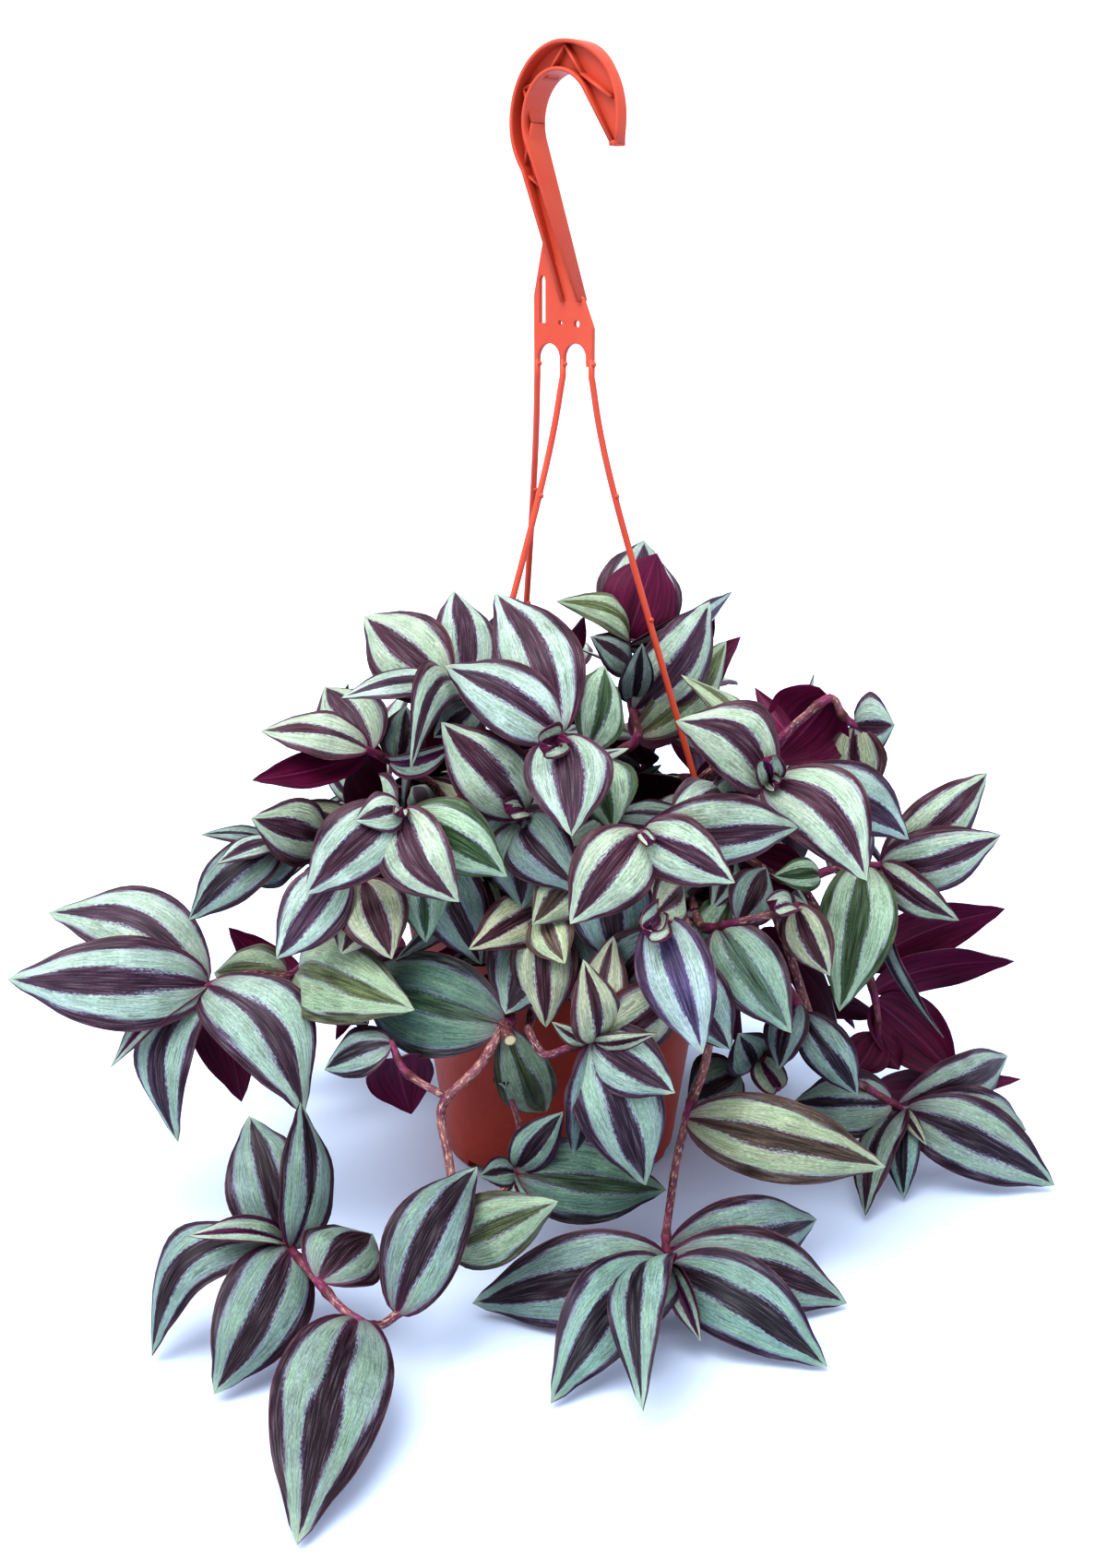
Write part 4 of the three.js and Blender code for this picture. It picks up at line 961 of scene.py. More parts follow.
@dataclass
class Soil:
    """The root ball: it fills the pot to a lumpy top strewn with crumbs and bits of fibre."""

    pot: Pot
    top: float = 110.0
    lump: float = 1.6
    lump_mm: float = 14.0
    finer: float = 0.45
    rim_drop: float = 2.0
    rim_power: int = 6
    core_clear: float = 1.2
    foot_clear: float = 0.3
    shoulder: float = 6.0
    rings: int = 22
    steps: int = 72
    crumbs: int = 260
    crumb_sizes: Flat = (0.8, 2.4)
    crumb_rough: float = 0.5
    crumb_grain: float = 1.3
    crumb_flat: float = 0.7
    crumb_long: float = 1.2
    fibre_long: float = 2.6
    fibre_share: float = 0.8
    crumb_up: float = 0.15
    crumb_edge: float = 3.0
    finish: Peat = Peat()

    def level(self, x: float, y: float) -> float:
        """Finds the height of the soil.

        Args:
            x: Place along the part's own x.
            y: Place along the part's own y.

        Returns:
            The height there.
        """
        spot = Vector((x, y, 0.0))
        rough = noise.noise(spot / self.lump_mm) + self.finer * noise.noise(spot / (self.lump_mm / 3))
        rim = (spot.length / self.pot.top_radius) ** self.rim_power
        return self.top + self.lump * rough - self.rim_drop * rim

    def build(self) -> bpy.types.Object:
        """Makes the soil.

        Returns:
            The finished piece.
        """
        form = Form()
        slack = self.pot.wall + GAP
        step = self.pot.step + GAP
        core = self.pot.ledge - self.pot.notch_skin - self.core_clear
        shoulder = self.top - self.shoulder
        rim = self.pot.radius_at(shoulder) - slack
        bowl = [
            (0.0, self.pot.floor + GAP),
            (core, self.pot.floor + GAP),
            (core, step),
            (self.pot.radius_at(step) - slack - self.foot_clear, step),
            (rim, shoulder),
        ]
        lid = [(rim * (self.rings - k) / self.rings, self.top) for k in range(self.rings + 1)]
        for vert in form.spun([*bowl, *lid], self.steps):
            if vert.co.z > self.top - 1.0:
                vert.co.z = self.level(vert.co.x, vert.co.y)
        for k in range(self.crumbs):
            turn = 2 * math.pi * draw(7000 + k)
            radius = (rim - self.crumb_edge) * math.sqrt(draw(7300 + k))
            size = lerp(*self.crumb_sizes, draw(7600 + k) ** 2)
            x, y = radius * math.cos(turn), radius * math.sin(turn)
            made = bmesh.ops.create_icosphere(form.mesh, subdivisions=1, radius=size)["verts"]
            for vert in made:
                spot = vert.co / size * self.crumb_grain + Vector((k, 0.0, 0.0))
                vert.co *= 1 + self.crumb_rough * noise.noise(spot)
            long = self.fibre_long if draw(7900 + k) > self.fibre_share else self.crumb_long
            drawn = Matrix.Diagonal((long, 1.0, self.crumb_flat))
            shape = Matrix.Rotation(2 * math.pi * draw(8200 + k), 3, "Z") @ drawn
            bmesh.ops.transform(form.mesh, matrix=shape.to_4x4(), verts=made)
            up = self.level(x, y) + self.crumb_up * size
            bmesh.ops.translate(form.mesh, verts=made, vec=(x, y, up))
        for face in form.mesh.faces:
            face.smooth = True
        return form.piece("peat_soil", ["potting_soil"], "potting_mix", [self.finish.make()])


@dataclass
class Hanger:
    """The moulded hanger: a hook of two flanges on a web with a zigzag rib, a plate and three thin legs."""

    pot: Pot
    centre: Flat = (5.0, 430.0)
    outside: Flat = (26.0, 29.0)
    outer_turn: tuple[float, float, int] = (-8.0, 218.0, 56)
    inner_centre: Flat = (2.0, 430.4)
    inside: Flat = (16.6, 18.6)
    inner_turn: tuple[float, float, int] = (36.0, 200.0, 40)
    web: float = 1.6
    flange: float = 1.7
    depth: float = 13.0
    end_depth: float = 5.2
    deepens: float = 62.0
    thins_from: float = 4.0
    thins: float = 22.0
    tip: Flat = (30.2, 420.0)
    tip_inside: Flat = (27.8, 421.0)
    heel: Flat = (2.6, 361.5)
    throat: Flat = (11.4, 361.5)
    end_thick: float = 2.2
    end_span: Flat = (-3.0, 0.8)
    end_up: float = 0.4
    rib: tuple[Flat, ...] = (
        (28.6, 437.0), (13.6, 446.4), (5.0, 457.8), (-4.4, 446.6),
        (-16.6, 443.0), (-12.0, 430.0), (-17.2, 411.5), (-8.2, 406.0),
    )
    rib_depth: float = 7.8
    rib_thick: float = 1.3
    plate_top: tuple[Flat, ...] = ((-13.6, 364.0), (-9.0, 384.0), (12.4, 362.5), (17.6, 351.0))
    plate_bottom: float = 336.0
    plate_thick: float = 2.0
    plate_worn: float = 0.25
    arch_width: float = 11.8
    arch_top: float = 345.0
    arch_lefts: Flat = (-11.5, 2.5)
    slot_x: float = -9.0
    slot_bottom: float = 353.0
    slot_height: float = 18.5
    slot_width: float = 3.2
    pin_holes: tuple[Spot, ...] = ((0.6, 353.0, 1.0), (9.4, 352.6, 1.5))
    leg_radius: float = 1.35
    leg_root: Flat = (3.0, -4.0)
    leg_over: float = 4.0
    leg_steps: int = 16
    leg_starts: Spot = (-12.6, 1.3, 16.6)
    leg_bearings: Spot = (150.0, -95.0, 27.0)
    leg_bow: float = -3.4
    leg_bow_at: float = 0.25
    clip: tuple[Flat, ...] = ((0.0, 2.0), (-0.25, 0.3), (-0.8, -1.0), (-1.5, -1.6))
    clip_ends: Flat = (-2.6, -4.4)
    clip_under: float = 0.1
    nubs: Spot = (337.0, 285.0, 235.0)
    nub_radius: float = 1.15
    nub_out: float = 1.1
    finish: MouldedPlastic = MouldedPlastic("polypropylene_orange_red_gloss", "B8533D", "B64A36", 0.42)

    SQUARE = 0.28
    STRIP_SIDES = 16
    LEG_SIDES = 14
    DOME_STEPS = 20
    HOLE_STEPS = 16

    def depth_at(self, x: float, z: float) -> float:
        """Gives the depth of the flanges at a place on the hook."""
        down = min(max((z - self.heel[1]) / self.deepens, 0.0), 1.0)
        out = min(max((x - self.thins_from) / self.thins, 0.0), 1.0)
        return lerp(self.end_depth, self.depth, min(down, 1 - out))

    def edges(self) -> tuple[list[Flat], list[Flat]]:
        """Gives the hook's outer and inner edges, from its tip to its foot, as [x, z]."""
        outer = [self.tip, *arc(self.centre, self.outside, *self.outer_turn), self.heel]
        inner = [self.tip_inside, *arc(self.inner_centre, self.inside, *self.inner_turn), self.throat]
        return outer, inner

    def strip(self, form: Form, line: Sequence[Spot], thick: float) -> None:
        """Adds a strip that stands square to the plane of the hook.

        Args:
            form: The mesh that it goes in.
            line: Its middle as [x, z, depth].
            thick: Its thickness.
        """

        def outline(station: int, turn: float) -> Vector:
            """Gives a point of the strip's section, a rectangle with rounded corners.

            Args:
                station: Place along the line.
                turn: Place round the section, in radians.

            Returns:
                The point.
            """
            c, s = math.cos(turn), math.sin(turn)
            wide = math.copysign(abs(c) ** self.SQUARE, c) * thick / 2
            deep = math.copysign(abs(s) ** self.SQUARE, s) * line[station][2] / 2
            return Vector((wide, deep, 0.0))

        points = [Vector((x, 0.0, z)) for x, z, _ in line]
        start = (points[1] - points[0]).cross(Vector((0.0, 1.0, 0.0)))
        form.sweep(points, self.STRIP_SIDES, outline, start)

    def leg_lines(self) -> list[list[Vector]]:
        """Draws the legs' lines.

        Returns:
            Each leg's line, from the plate down and round the lip of the pot.
        """
        lines = []
        for start, degrees in zip(self.leg_starts, self.leg_bearings):
            way = on_circle(math.radians(degrees), 1.0)
            outside = self.pot.lip_radius + self.leg_radius + GAP
            root, neck = (Vector((start, 0.0, self.plate_bottom + up)) for up in self.leg_root)
            rim = way * outside + UP * (self.pot.height + self.leg_over)
            bowed = neck.lerp(rim, self.leg_bow_at) + way * self.leg_bow
            under = -self.leg_radius - GAP - self.clip_under
            clip = [
                way * (outside + out) + UP * (self.pot.lip_foot + up)
                for out, up in (*self.clip, *((out, under) for out in self.clip_ends))
            ]
            lines.append([root, *smooth([neck, bowed, rim], self.leg_steps), *clip])
        return lines

    def plate_loops(self) -> tuple[list[Flat], list[list[Flat]]]:
        """Draws the plate.

        Returns:
            Its outline, and those of its slot and its two pin holes.
        """
        low = self.plate_bottom
        outline = [(self.plate_top[0][0], low), *self.plate_top, (self.plate_top[-1][0], low)]
        radius = self.arch_width / 2
        for start in reversed(self.arch_lefts):
            crown = (start + radius, self.arch_top - radius)
            dome = arc(crown, (radius, radius), 0, 180, self.DOME_STEPS)
            outline += [(dome[0][0], low), *dome, (dome[-1][0], low)]
        top = self.slot_bottom + self.slot_height
        half = self.slot_width / 2
        slot = [(-half, self.slot_bottom), (half, self.slot_bottom), (half, top - half)]
        slot += [(half / 2, top), (-half / 2, top), (-half, top - half)]
        pins = [arc((x, z), (size, size), 0, 360, self.HOLE_STEPS)[:-1] for x, z, size in self.pin_holes]
        return outline, [[(self.slot_x + x, z) for x, z in slot], *pins]

    def build(self) -> bpy.types.Object:
        """Makes the hanger.

        Returns:
            The finished piece.
        """
        form = Form()
        outer, inner = self.edges()
        form.plate([*outer, *reversed(inner)], [], self.web, self.plate_worn)
        for edge in (outer, inner):
            self.strip(form, [(x, z, self.depth_at(x, z)) for x, z in edge], self.flange)
        for a, b in zip(self.rib, self.rib[1:]):
            self.strip(form, [(*a, self.rib_depth), (*b, self.rib_depth)], self.rib_thick)
        tip_x, tip_z = self.tip
        end = [(tip_x + along, tip_z + self.end_up, self.end_depth) for along in self.end_span]
        self.strip(form, end, self.end_thick)
        form.plate(*self.plate_loops(), self.plate_thick, self.plate_worn)
        across = Vector((1.0, 0.0, 0.0))
        for line in self.leg_lines():
            form.sweep(line, self.LEG_SIDES, lambda _, turn: on_circle(turn, self.leg_radius), across)
            for level in self.nubs:
                i = next(k for k, point in enumerate(line) if point.z < level)
                share = (line[i - 1].z - level) / (line[i - 1].z - line[i].z)
                made = bmesh.ops.create_icosphere(form.mesh, subdivisions=2, radius=self.nub_radius)["verts"]
                side = line[i - 1].lerp(line[i], share) + Vector((self.nub_out, 0.0, 0.0))
                bmesh.ops.translate(form.mesh, verts=made, vec=side)
                for face in {face for vert in made for face in vert.link_faces}:
                    face.smooth = True
        return form.piece("hook_hanger", ["hanger"], "hanger_plastic", [self.finish.make()])


# Leaves and stems


@dataclass(frozen=True)
class Tint:
    """Colours of one leaf's upper side: its pearly bands, its dark margin and its dark heart."""

    band: str
    margin: str
    heart: str


class Tone(Enum):
    """The ways that a leaf is coloured. UNDER is a leaf that turns its under side to the view."""

    SILVER = Tint("9FB1A7", "4C3644", "4A3448")
    SHADE = Tint("728482", "2A1C28", "241A28")
    GREEN = Tint("9BB29C", "466240", "3E5A3A")
    YELLOW = Tint("A3AB8C", "5C4E40", "58483A")
    PALE = Tint("A8AC94", "563A3A", "4A2A34")
    TAWNY = Tint("9FAE9D", "50343E", "4C3040")
    VIOLET = Tint("97A9AE", "4B3A54", "504668")
    OLIVE = Tint("90A086", "565E42", "5E6C46")
    DARK = Tint("5A766A", "343A38", "435E48")
    JADE = Tint("8FAA9C", "56464E", "5E7C6A")
    STONE = Tint("84928A", "382432", "302434")
    YOUNG = Tint("A8B8A8", "582040", "5D194C")
    UNDER = Tint("93ACA2", "40343F", "3A303E")


SILVER, SHADE, GREEN, YELLOW, PALE, TAWNY, VIOLET, OLIVE, DARK, JADE, STONE, YOUNG, UNDER = Tone


@dataclass(frozen=True)
class AgeAndShade:
    """How a leaf's colours shift: darker near the ground, browner or yellower by chance, pale at the tip."""

    # Leaves near the ground darken towards this low tint, partly with age and partly as painted shade.
    low: Tint = Tint("718C86", "302236", "28242E")
    ground: float = 25.0
    crown: float = 130.0
    muted: float = 0.3
    brown: str = "461E2C"
    most_brown: float = 0.5
    least_brown: float = 0.12
    yellow: str = "9DA686"
    most_yellow: float = 0.2
    tip: str = "A3B09A"
    tip_from: float = 0.92

    def colours(self, tone: Tone, height: float, seed: float) -> dict[str, Vector]:
        """Gives one leaf's colours.

        Args:
            tone: The way that the leaf is coloured.
            height: Height of its middle.
            seed: Its seed.

        Returns:
            The linear colour of each part.
        """
        # Painted shade and age: the lower a leaf's middle, the more its colours go to the low tint.
        sunk = min(max((self.crown - height) / (self.crown - self.ground), 0.0), 1.0)
        if tone not in (SILVER, UNDER):
            sunk *= self.muted
        turned = self.least_brown if tone in (GREEN, OLIVE, DARK) else self.most_brown
        chance = {
            "band": (self.yellow, self.most_yellow * draw(seed + 13) ** 2),
            "margin": (self.brown, turned * draw(seed + 11)),
            "heart": (self.brown, turned * draw(seed + 11)),
        }
        made = {}
        for part, (other, share) in chance.items():
            colour = Vector(linear(getattr(tone.value, part)))
            colour = colour.lerp(Vector(linear(getattr(self.low, part))), sunk)
            made[part] = colour.lerp(Vector(linear(other)), share * (1 - sunk))
        return made


@dataclass(frozen=True)
class BladeForm:
    """Form that all the blades share: shares of a blade's length or half width, and a few sizes."""

    half: float = 0.5
    edge_droop: float = 0.16
    base_fold: float = 0.5
    fold_reach: float = 0.12
    arch: float = 0.14
    arch_power: float = 0.85
    rise: float = 0.6
    fall: float = 0.9
    puff: float = 0.11
    puff_reach: float = 1.2
    wave: float = 0.055
    roll: float = 0.6
    roll_ahead: float = 0.12
    roll_power: float = 0.6
    roll_narrows: float = 0.2
    curl_from: float = 0.52
    curl_turn: float = 2.2
    curls_below: float = 30.0
    drawn: float = 0.14
    drawn_at: float = 0.87
    drawn_over: float = 0.08
    thick: float = 0.42
    lift_power: float = 1.4
    waves: float = 2.2
    waves_apart: float = 2.1
    heart: float = 0.18
    heart_grows: float = 0.18
    heart_chance: Flat = (0.8, 1.2)
    heart_tip: float = 0.06
    heart_tip_power: int = 20
    tip_power: int = 12
    band_end: float = 0.79
    band_narrows: float = 0.04
    band_at_tip: float = 0.2
    band_at_base: float = 0.12
    base_power: int = 8
    flush: float = 0.55
    flush_reach: float = 0.07
    pale_tip: float = 0.7
    wide: float = 9.0
    lanes: tuple[int, int] = (8, 6)
    fewest_rows: int = 9
    row_mm: float = 7.0
    row_power: float = 1.3

    def width_at(self, t: float) -> float:
        """Gives the share of a leaf's full width at a share of its length."""
        widest = self.rise / (self.rise + self.fall)
        full = widest**self.rise * (1 - widest) ** self.fall
        return t**self.rise * (1 - t) ** self.fall / full

    def edge_lift(self, t: float) -> float:
        """Gives how far the edges stand above the midrib, as a share of the half width."""
        return self.base_fold * math.exp(-t / self.fold_reach) - self.edge_droop

    def heart_at(self, t: float) -> float:
        """Gives the half width of the dark heart, which widens along the leaf and closes before the tip."""
        full = (self.heart + self.heart_grows * t) * (1 - t**self.tip_power)
        return full - self.heart_tip * t**self.heart_tip_power

    def band_end_at(self, t: float) -> float:
        """Gives where the pearly band ends and the dark margin starts."""
        middle = self.band_end - self.band_narrows * t + self.band_at_tip * t**self.tip_power
        return middle - self.band_at_base * (1 - t) ** self.base_power


BLADE = BladeForm()
VIEW = Viewpoint()


@dataclass(frozen=True)
class Section:
    """Cross-section of a blade: its middle, the ways to its side and out of its face, and its half width."""

    middle: Vector
    side: Vector
    out: Vector
    half_width: float
    lift: float


class Legs:
    """The hanger's legs, as places that no older leaf meets, or hides from the viewer where they are bare."""

    BARE = 165.0

    def __init__(self, lines: Sequence[Sequence[Vector]]) -> None:
        """Sorts the points of the legs' lines, in space and as they are seen."""
        self.points = [point for line in lines for point in line]
        self.near = tree_of(self.points)
        self.seen = tree_of([Vector((*VIEW.place_in_view(point), 0.0)) for point in self.points])

    def clear_of(self, cut: Section, gap: float) -> bool:
        """Tells whether a blade's section stays clear of the legs.

        Args:
            cut: The section.
            gap: The least distance between its edge and a leg.

        Returns:
            Whether it neither meets a leg nor hides one.
        """
        if self.near.find(cut.middle)[2] < cut.half_width + gap:
            return False
        _, i, apart = self.seen.find(Vector((*VIEW.place_in_view(cut.middle), 0.0)))
        bare = self.points[i].z > self.BARE
        nearer = (VIEW.eye - cut.middle).length < (VIEW.eye - self.points[i]).length
        return not (bare and nearer and apart < (cut.half_width + gap) * VIEW.per_mm)


@dataclass(frozen=True)
class Leaf:
    """One leaf: where it leaves its stem, its tip, and how it is turned, arched and coloured."""

    base: Vector
    tip: Vector
    width: float
    turn: float
    tone: Tone
    facing: Vector
    seed: float
    arch: float = BLADE.arch
    curve: float = 0.0
    stations: tuple[float, ...] = ()

    SHIFTS = (0, 7, -7, 14, -14, 21, -21, 30, -30)
    SHRINKS = (1.0, 0.86, 0.72)
    ARCHES = (0.0, 0.1, -0.1)
    FOUND = 0.05
    SURE = 3
    UPPER, LOWER, STALK = 0, 1, 2

    def bends(self) -> Iterator["Leaf"]:
        """Tries bends.

        Returns:
            The ways that the leaf may have been bent to stay clear of its neighbours.
        """
        for shrink in self.SHRINKS:
            for arch in self.ARCHES:
                for shift in self.SHIFTS:
                    yield replace(
                        self,
                        tip=self.base.lerp(self.tip + self.facing * shift, shrink),
                        width=self.width * (0.5 + 0.5 * shrink),
                        arch=self.arch + arch,
                    )

    def section(self, t: float, curve: float = 0.0) -> Section:
        """Gives the blade's cross-section.

        Args:
            t: Share of its length.
            curve: How far its middle swings aside, as a share of its length.

        Returns:
            The section.
        """
        t = max(t, 1e-4)
        span = self.tip - self.base
        along = span.normalized()
        flat = (self.facing - along * self.facing.dot(along)).normalized()
        normal = swung(flat, along.cross(flat), math.radians(self.turn))
        side = along.cross(normal)
        bend = self.arch * span.length
        here = math.pi * t**BLADE.arch_power
        middle = self.base + span * t + normal * (bend * math.sin(here))
        slope = bend * math.cos(here) * math.pi * BLADE.arch_power * t ** (BLADE.arch_power - 1)
        out = side.cross((span + normal * slope).normalized()).normalized()
        half_width = self.width / 2 * BLADE.width_at(t)
        middle = middle + side * (curve * span.length * math.sin(math.pi * t))
        return Section(middle, side, out, half_width, BLADE.edge_lift(t) * half_width)

    def landmarks(self) -> list[Vector]:
        """Finds what to look for in the construction model.

        Returns:
            The corners that its blade has along its length.
        """
        points = []
        for t in self.stations:
            cut = self.section(t)
            for way in (1, -1):
                points.append(cut.middle + cut.side * (way * cut.half_width) + cut.out * cut.lift)
                points.append(cut.middle + cut.out * (way * BLADE.half))
        return points

    def as_built(self, corners: kdtree.KDTree) -> Optional["Leaf"]:
        """Finds the bend that the construction model used.

        Args:
            corners: The corners of the leaf's node.

        Returns:
            The leaf as it was bent, or nothing where the node has no such leaf.
        """
        best, most = None, self.SURE - 1
        for way in self.bends():
            met = sum(corners.find(point)[2] < self.FOUND for point in way.landmarks())
            if met > most:
                best, most = way, met
        return best

    def surface(self, s: float, t: float) -> Vector:
        """Gives a point of the leaf's upper skin.

        Args:
            s: Place across the leaf, from -1 to 1.
            t: Place along the leaf, from 0 at its base to 1 at its tip.

        Returns:
            The point.
        """
        cut = self.section(t, self.curve)
        tapered = math.exp(-(((t - BLADE.drawn_at) / BLADE.drawn_over) ** 2))
        w = cut.half_width * (1 - BLADE.drawn * tapered)
        a = abs(s)
        young = self.tone is YOUNG
        lift = cut.lift * a**BLADE.lift_power
        puff = BLADE.puff * 4 * a * (1 - a) * (BLADE.puff_reach - a) * w
        phase = 2 * math.pi * (BLADE.waves * t + draw(self.seed)) + (BLADE.waves_apart if s > 0 else 0.0)
        wave = BLADE.wave * w * a**3 * math.sin(phase)
        reach = w * s
        middle, out = cut.middle, cut.out
        if young:
            rolled = math.sin(math.pi * min(t + BLADE.roll_ahead, 1.0)) ** BLADE.roll_power
            lift += BLADE.roll * w * a**2 * rolled
            reach *= 1 - BLADE.roll_narrows * a**2
            if t > BLADE.curl_from and (self.tip - self.base).length < BLADE.curls_below:
                bent = self.section(BLADE.curl_from, self.curve)
                along = bent.out.cross(bent.side)
                if along.dot(self.tip - self.base) < 0:
                    along.negate()
                rest = (self.tip - self.base).length * (1 - BLADE.curl_from)
                turned = BLADE.curl_turn * (t - BLADE.curl_from) / (1 - BLADE.curl_from)
                radius = rest / BLADE.curl_turn
                middle = bent.middle + along * (radius * math.sin(turned))
                middle = middle + bent.out * (radius * (1 - math.cos(turned)))
                out = bent.out * math.cos(turned) - along * math.sin(turned)
        height = lift + puff + BLADE.thick / 2 + wave
        return middle + cut.side * reach + out * height

    def add_to(self, form: Form) -> None:
        """Adds the leaf as a sheet that is then given its thickness.

        Args:
            form: The mesh that it goes in.
        """
        long = (self.tip - self.base).length
        rows = BLADE.fewest_rows + round(long / BLADE.row_mm)
        lanes = BLADE.lanes[0 if self.width > BLADE.wide else 1]
        layers = form.mesh.verts.layers
        made = bmesh.ops.create_grid(form.mesh, x_segments=lanes, y_segments=rows, size=0.5)["verts"]
        spots = {vert: (2 * vert.co.x, (vert.co.y + 0.5) ** BLADE.row_power) for vert in made}
        skins = (self.UPPER, self.LOWER)
        if (self.tone is UNDER) != (math.cos(math.radians(self.turn)) < 0):
            skins = (self.LOWER, self.UPPER)
        for face in {face for vert in made for face in vert.link_faces}:
            face.material_index = skins[0]
            face.smooth = True
            for loop in face.loops:
                s, t = spots[loop.vert]
                loop[form.uv].uv = ((s + 1) / 2, t)
        age_and_shade = AgeAndShade()
        colours = age_and_shade.colours(self.tone, self.section(0.5).middle.z, self.seed)
        pale = Vector(linear(age_and_shade.tip))
        heart = lerp(*BLADE.heart_chance, draw(self.seed + 3))
        for vert, (s, t) in spots.items():
            vert.co = self.surface(s, t)
            for part, colour in colours.items():
                tipped = max(t - age_and_shade.tip_from, 0.0) / (1 - age_and_shade.tip_from) if part == "band" else 0.0
                vert[layers.float_color[part]] = colour.lerp(pale, BLADE.pale_tip * tipped)
            vert[layers.float_vector["measure"]] = (self.width / 2, long, self.seed % 97)
            flush = BLADE.flush * math.exp(-t / BLADE.flush_reach)
            vert[layers.float_vector["stripe"]] = (BLADE.heart_at(t) * heart, BLADE.band_end_at(t), flush)
        bmesh.ops.remove_doubles(form.mesh, verts=made, dist=form.SEAM)
        sheet = {face for vert in made if vert.is_valid for face in vert.link_faces}
        border = [edge for face in sheet for edge in face.edges if edge.is_boundary]
        grown = bmesh.ops.solidify(form.mesh, geom=list(sheet), thickness=BLADE.thick)
        for face in [part for part in grown["geom"] if isinstance(part, bmesh.types.BMFace)]:
            face.material_index = skins[1]
        walls = {face for edge in border for face in edge.link_faces} - sheet
        for edge in {edge for face in walls for edge in face.edges}:
            edge.smooth = False


@dataclass(frozen=True)
class LeafPlan:
    """A leaf as it is seen: where it leaves its stem, its tip, its distance in front of the pot's axis.

    A row of a stem's plan gives these values in this order.
    """

    column: float
    row: float
    tip_column: float
    tip_row: float
    forward: float
    width: float
    turn: float
    tone: Tone
    arch: float = BLADE.arch
    curve: float = 0.0


@dataclass(frozen=True)
class StemPlan:
    """A stem that the view shows.

    Its root is [right, forward] on the soil, its rise is [right, forward, up], its stem and twig points
    are [column, row, forward], and its leaves are rows of what LeafPlan holds.
    """

    name: str
    root: Flat
    rise: tuple[Spot, ...]
    stem: tuple[Spot, ...]
    leaves: tuple[tuple[Union[float, Tone], ...], ...]
    twigs: tuple[tuple[Spot, ...], ...] = ()


@dataclass(frozen=True)
class Ring:
    """Stems round the far sides of the plant: bearings count anticlockwise from the viewer's right."""

    name: str
    bearings: tuple[float, ...]
    root: float
    reach: float
    level: float
    tilt: float


@dataclass(frozen=True)
class RingLeaves:
    """How the leaves of a ring's stem are set round it, from the oldest to the youngest."""

    count: int = 7
    long: float = 70.0
    short: float = 26.0
    ratio: float = 2.2
    size_power: float = 1.8
    spread: float = 84.0
    close: float = 34.0
    close_power: float = 1.4
    golden: float = 137.5
    sag: float = 0.2
    first: float = 0.62
    floor: float = 3.0
    raised: float = 16.0
    reaching: Flat = (0.94, 1.06)
    sized: Flat = (0.9, 1.1)
    spun: float = 30.0
    turned: float = 24.0
    curved: float = 0.16
    lift: Flat = (6.0, 19.0)
    brow: Flat = (131.0, 150.0)
    brow_at: float = 0.45
    straight: float = 0.24
    faces_up: float = 0.5
    tones: tuple[Tone, ...] = (
        SILVER, SHADE, SILVER, TAWNY, SHADE, SILVER, GREEN, SHADE, PALE, SILVER, STONE,
    )


@dataclass(frozen=True)
class OlderLeaves:
    """How the older leaves stand on the stretch of a stem over the pot, below those that the plans name."""

    pitch: float = 12.0
    first: float = 9.0
    last: float = 6.0
    longest: float = 54.0
    shortest: float = 38.0
    ratio: float = 2.1
    swing: float = 64.0
    jitter: float = 70.0
    over_pot: float = 112.0
    pot_reach: float = 84.0
    clear: float = 128.0
    from_leg: float = 2.5
    edge: float = 2.0
    farthest: float = 118.0
    sag: float = 0.2
    turned: float = 50.0
    curved: float = 0.16
    faces_up: float = 0.8
    faces_out: float = 0.6
    upright: float = 0.95
    tested: tuple[float, ...] = (0.25, 0.5, 0.75, 0.99)
    tones: tuple[Tone, ...] = (SHADE, SILVER, SHADE, GREEN, SILVER, PALE, SHADE, UNDER)


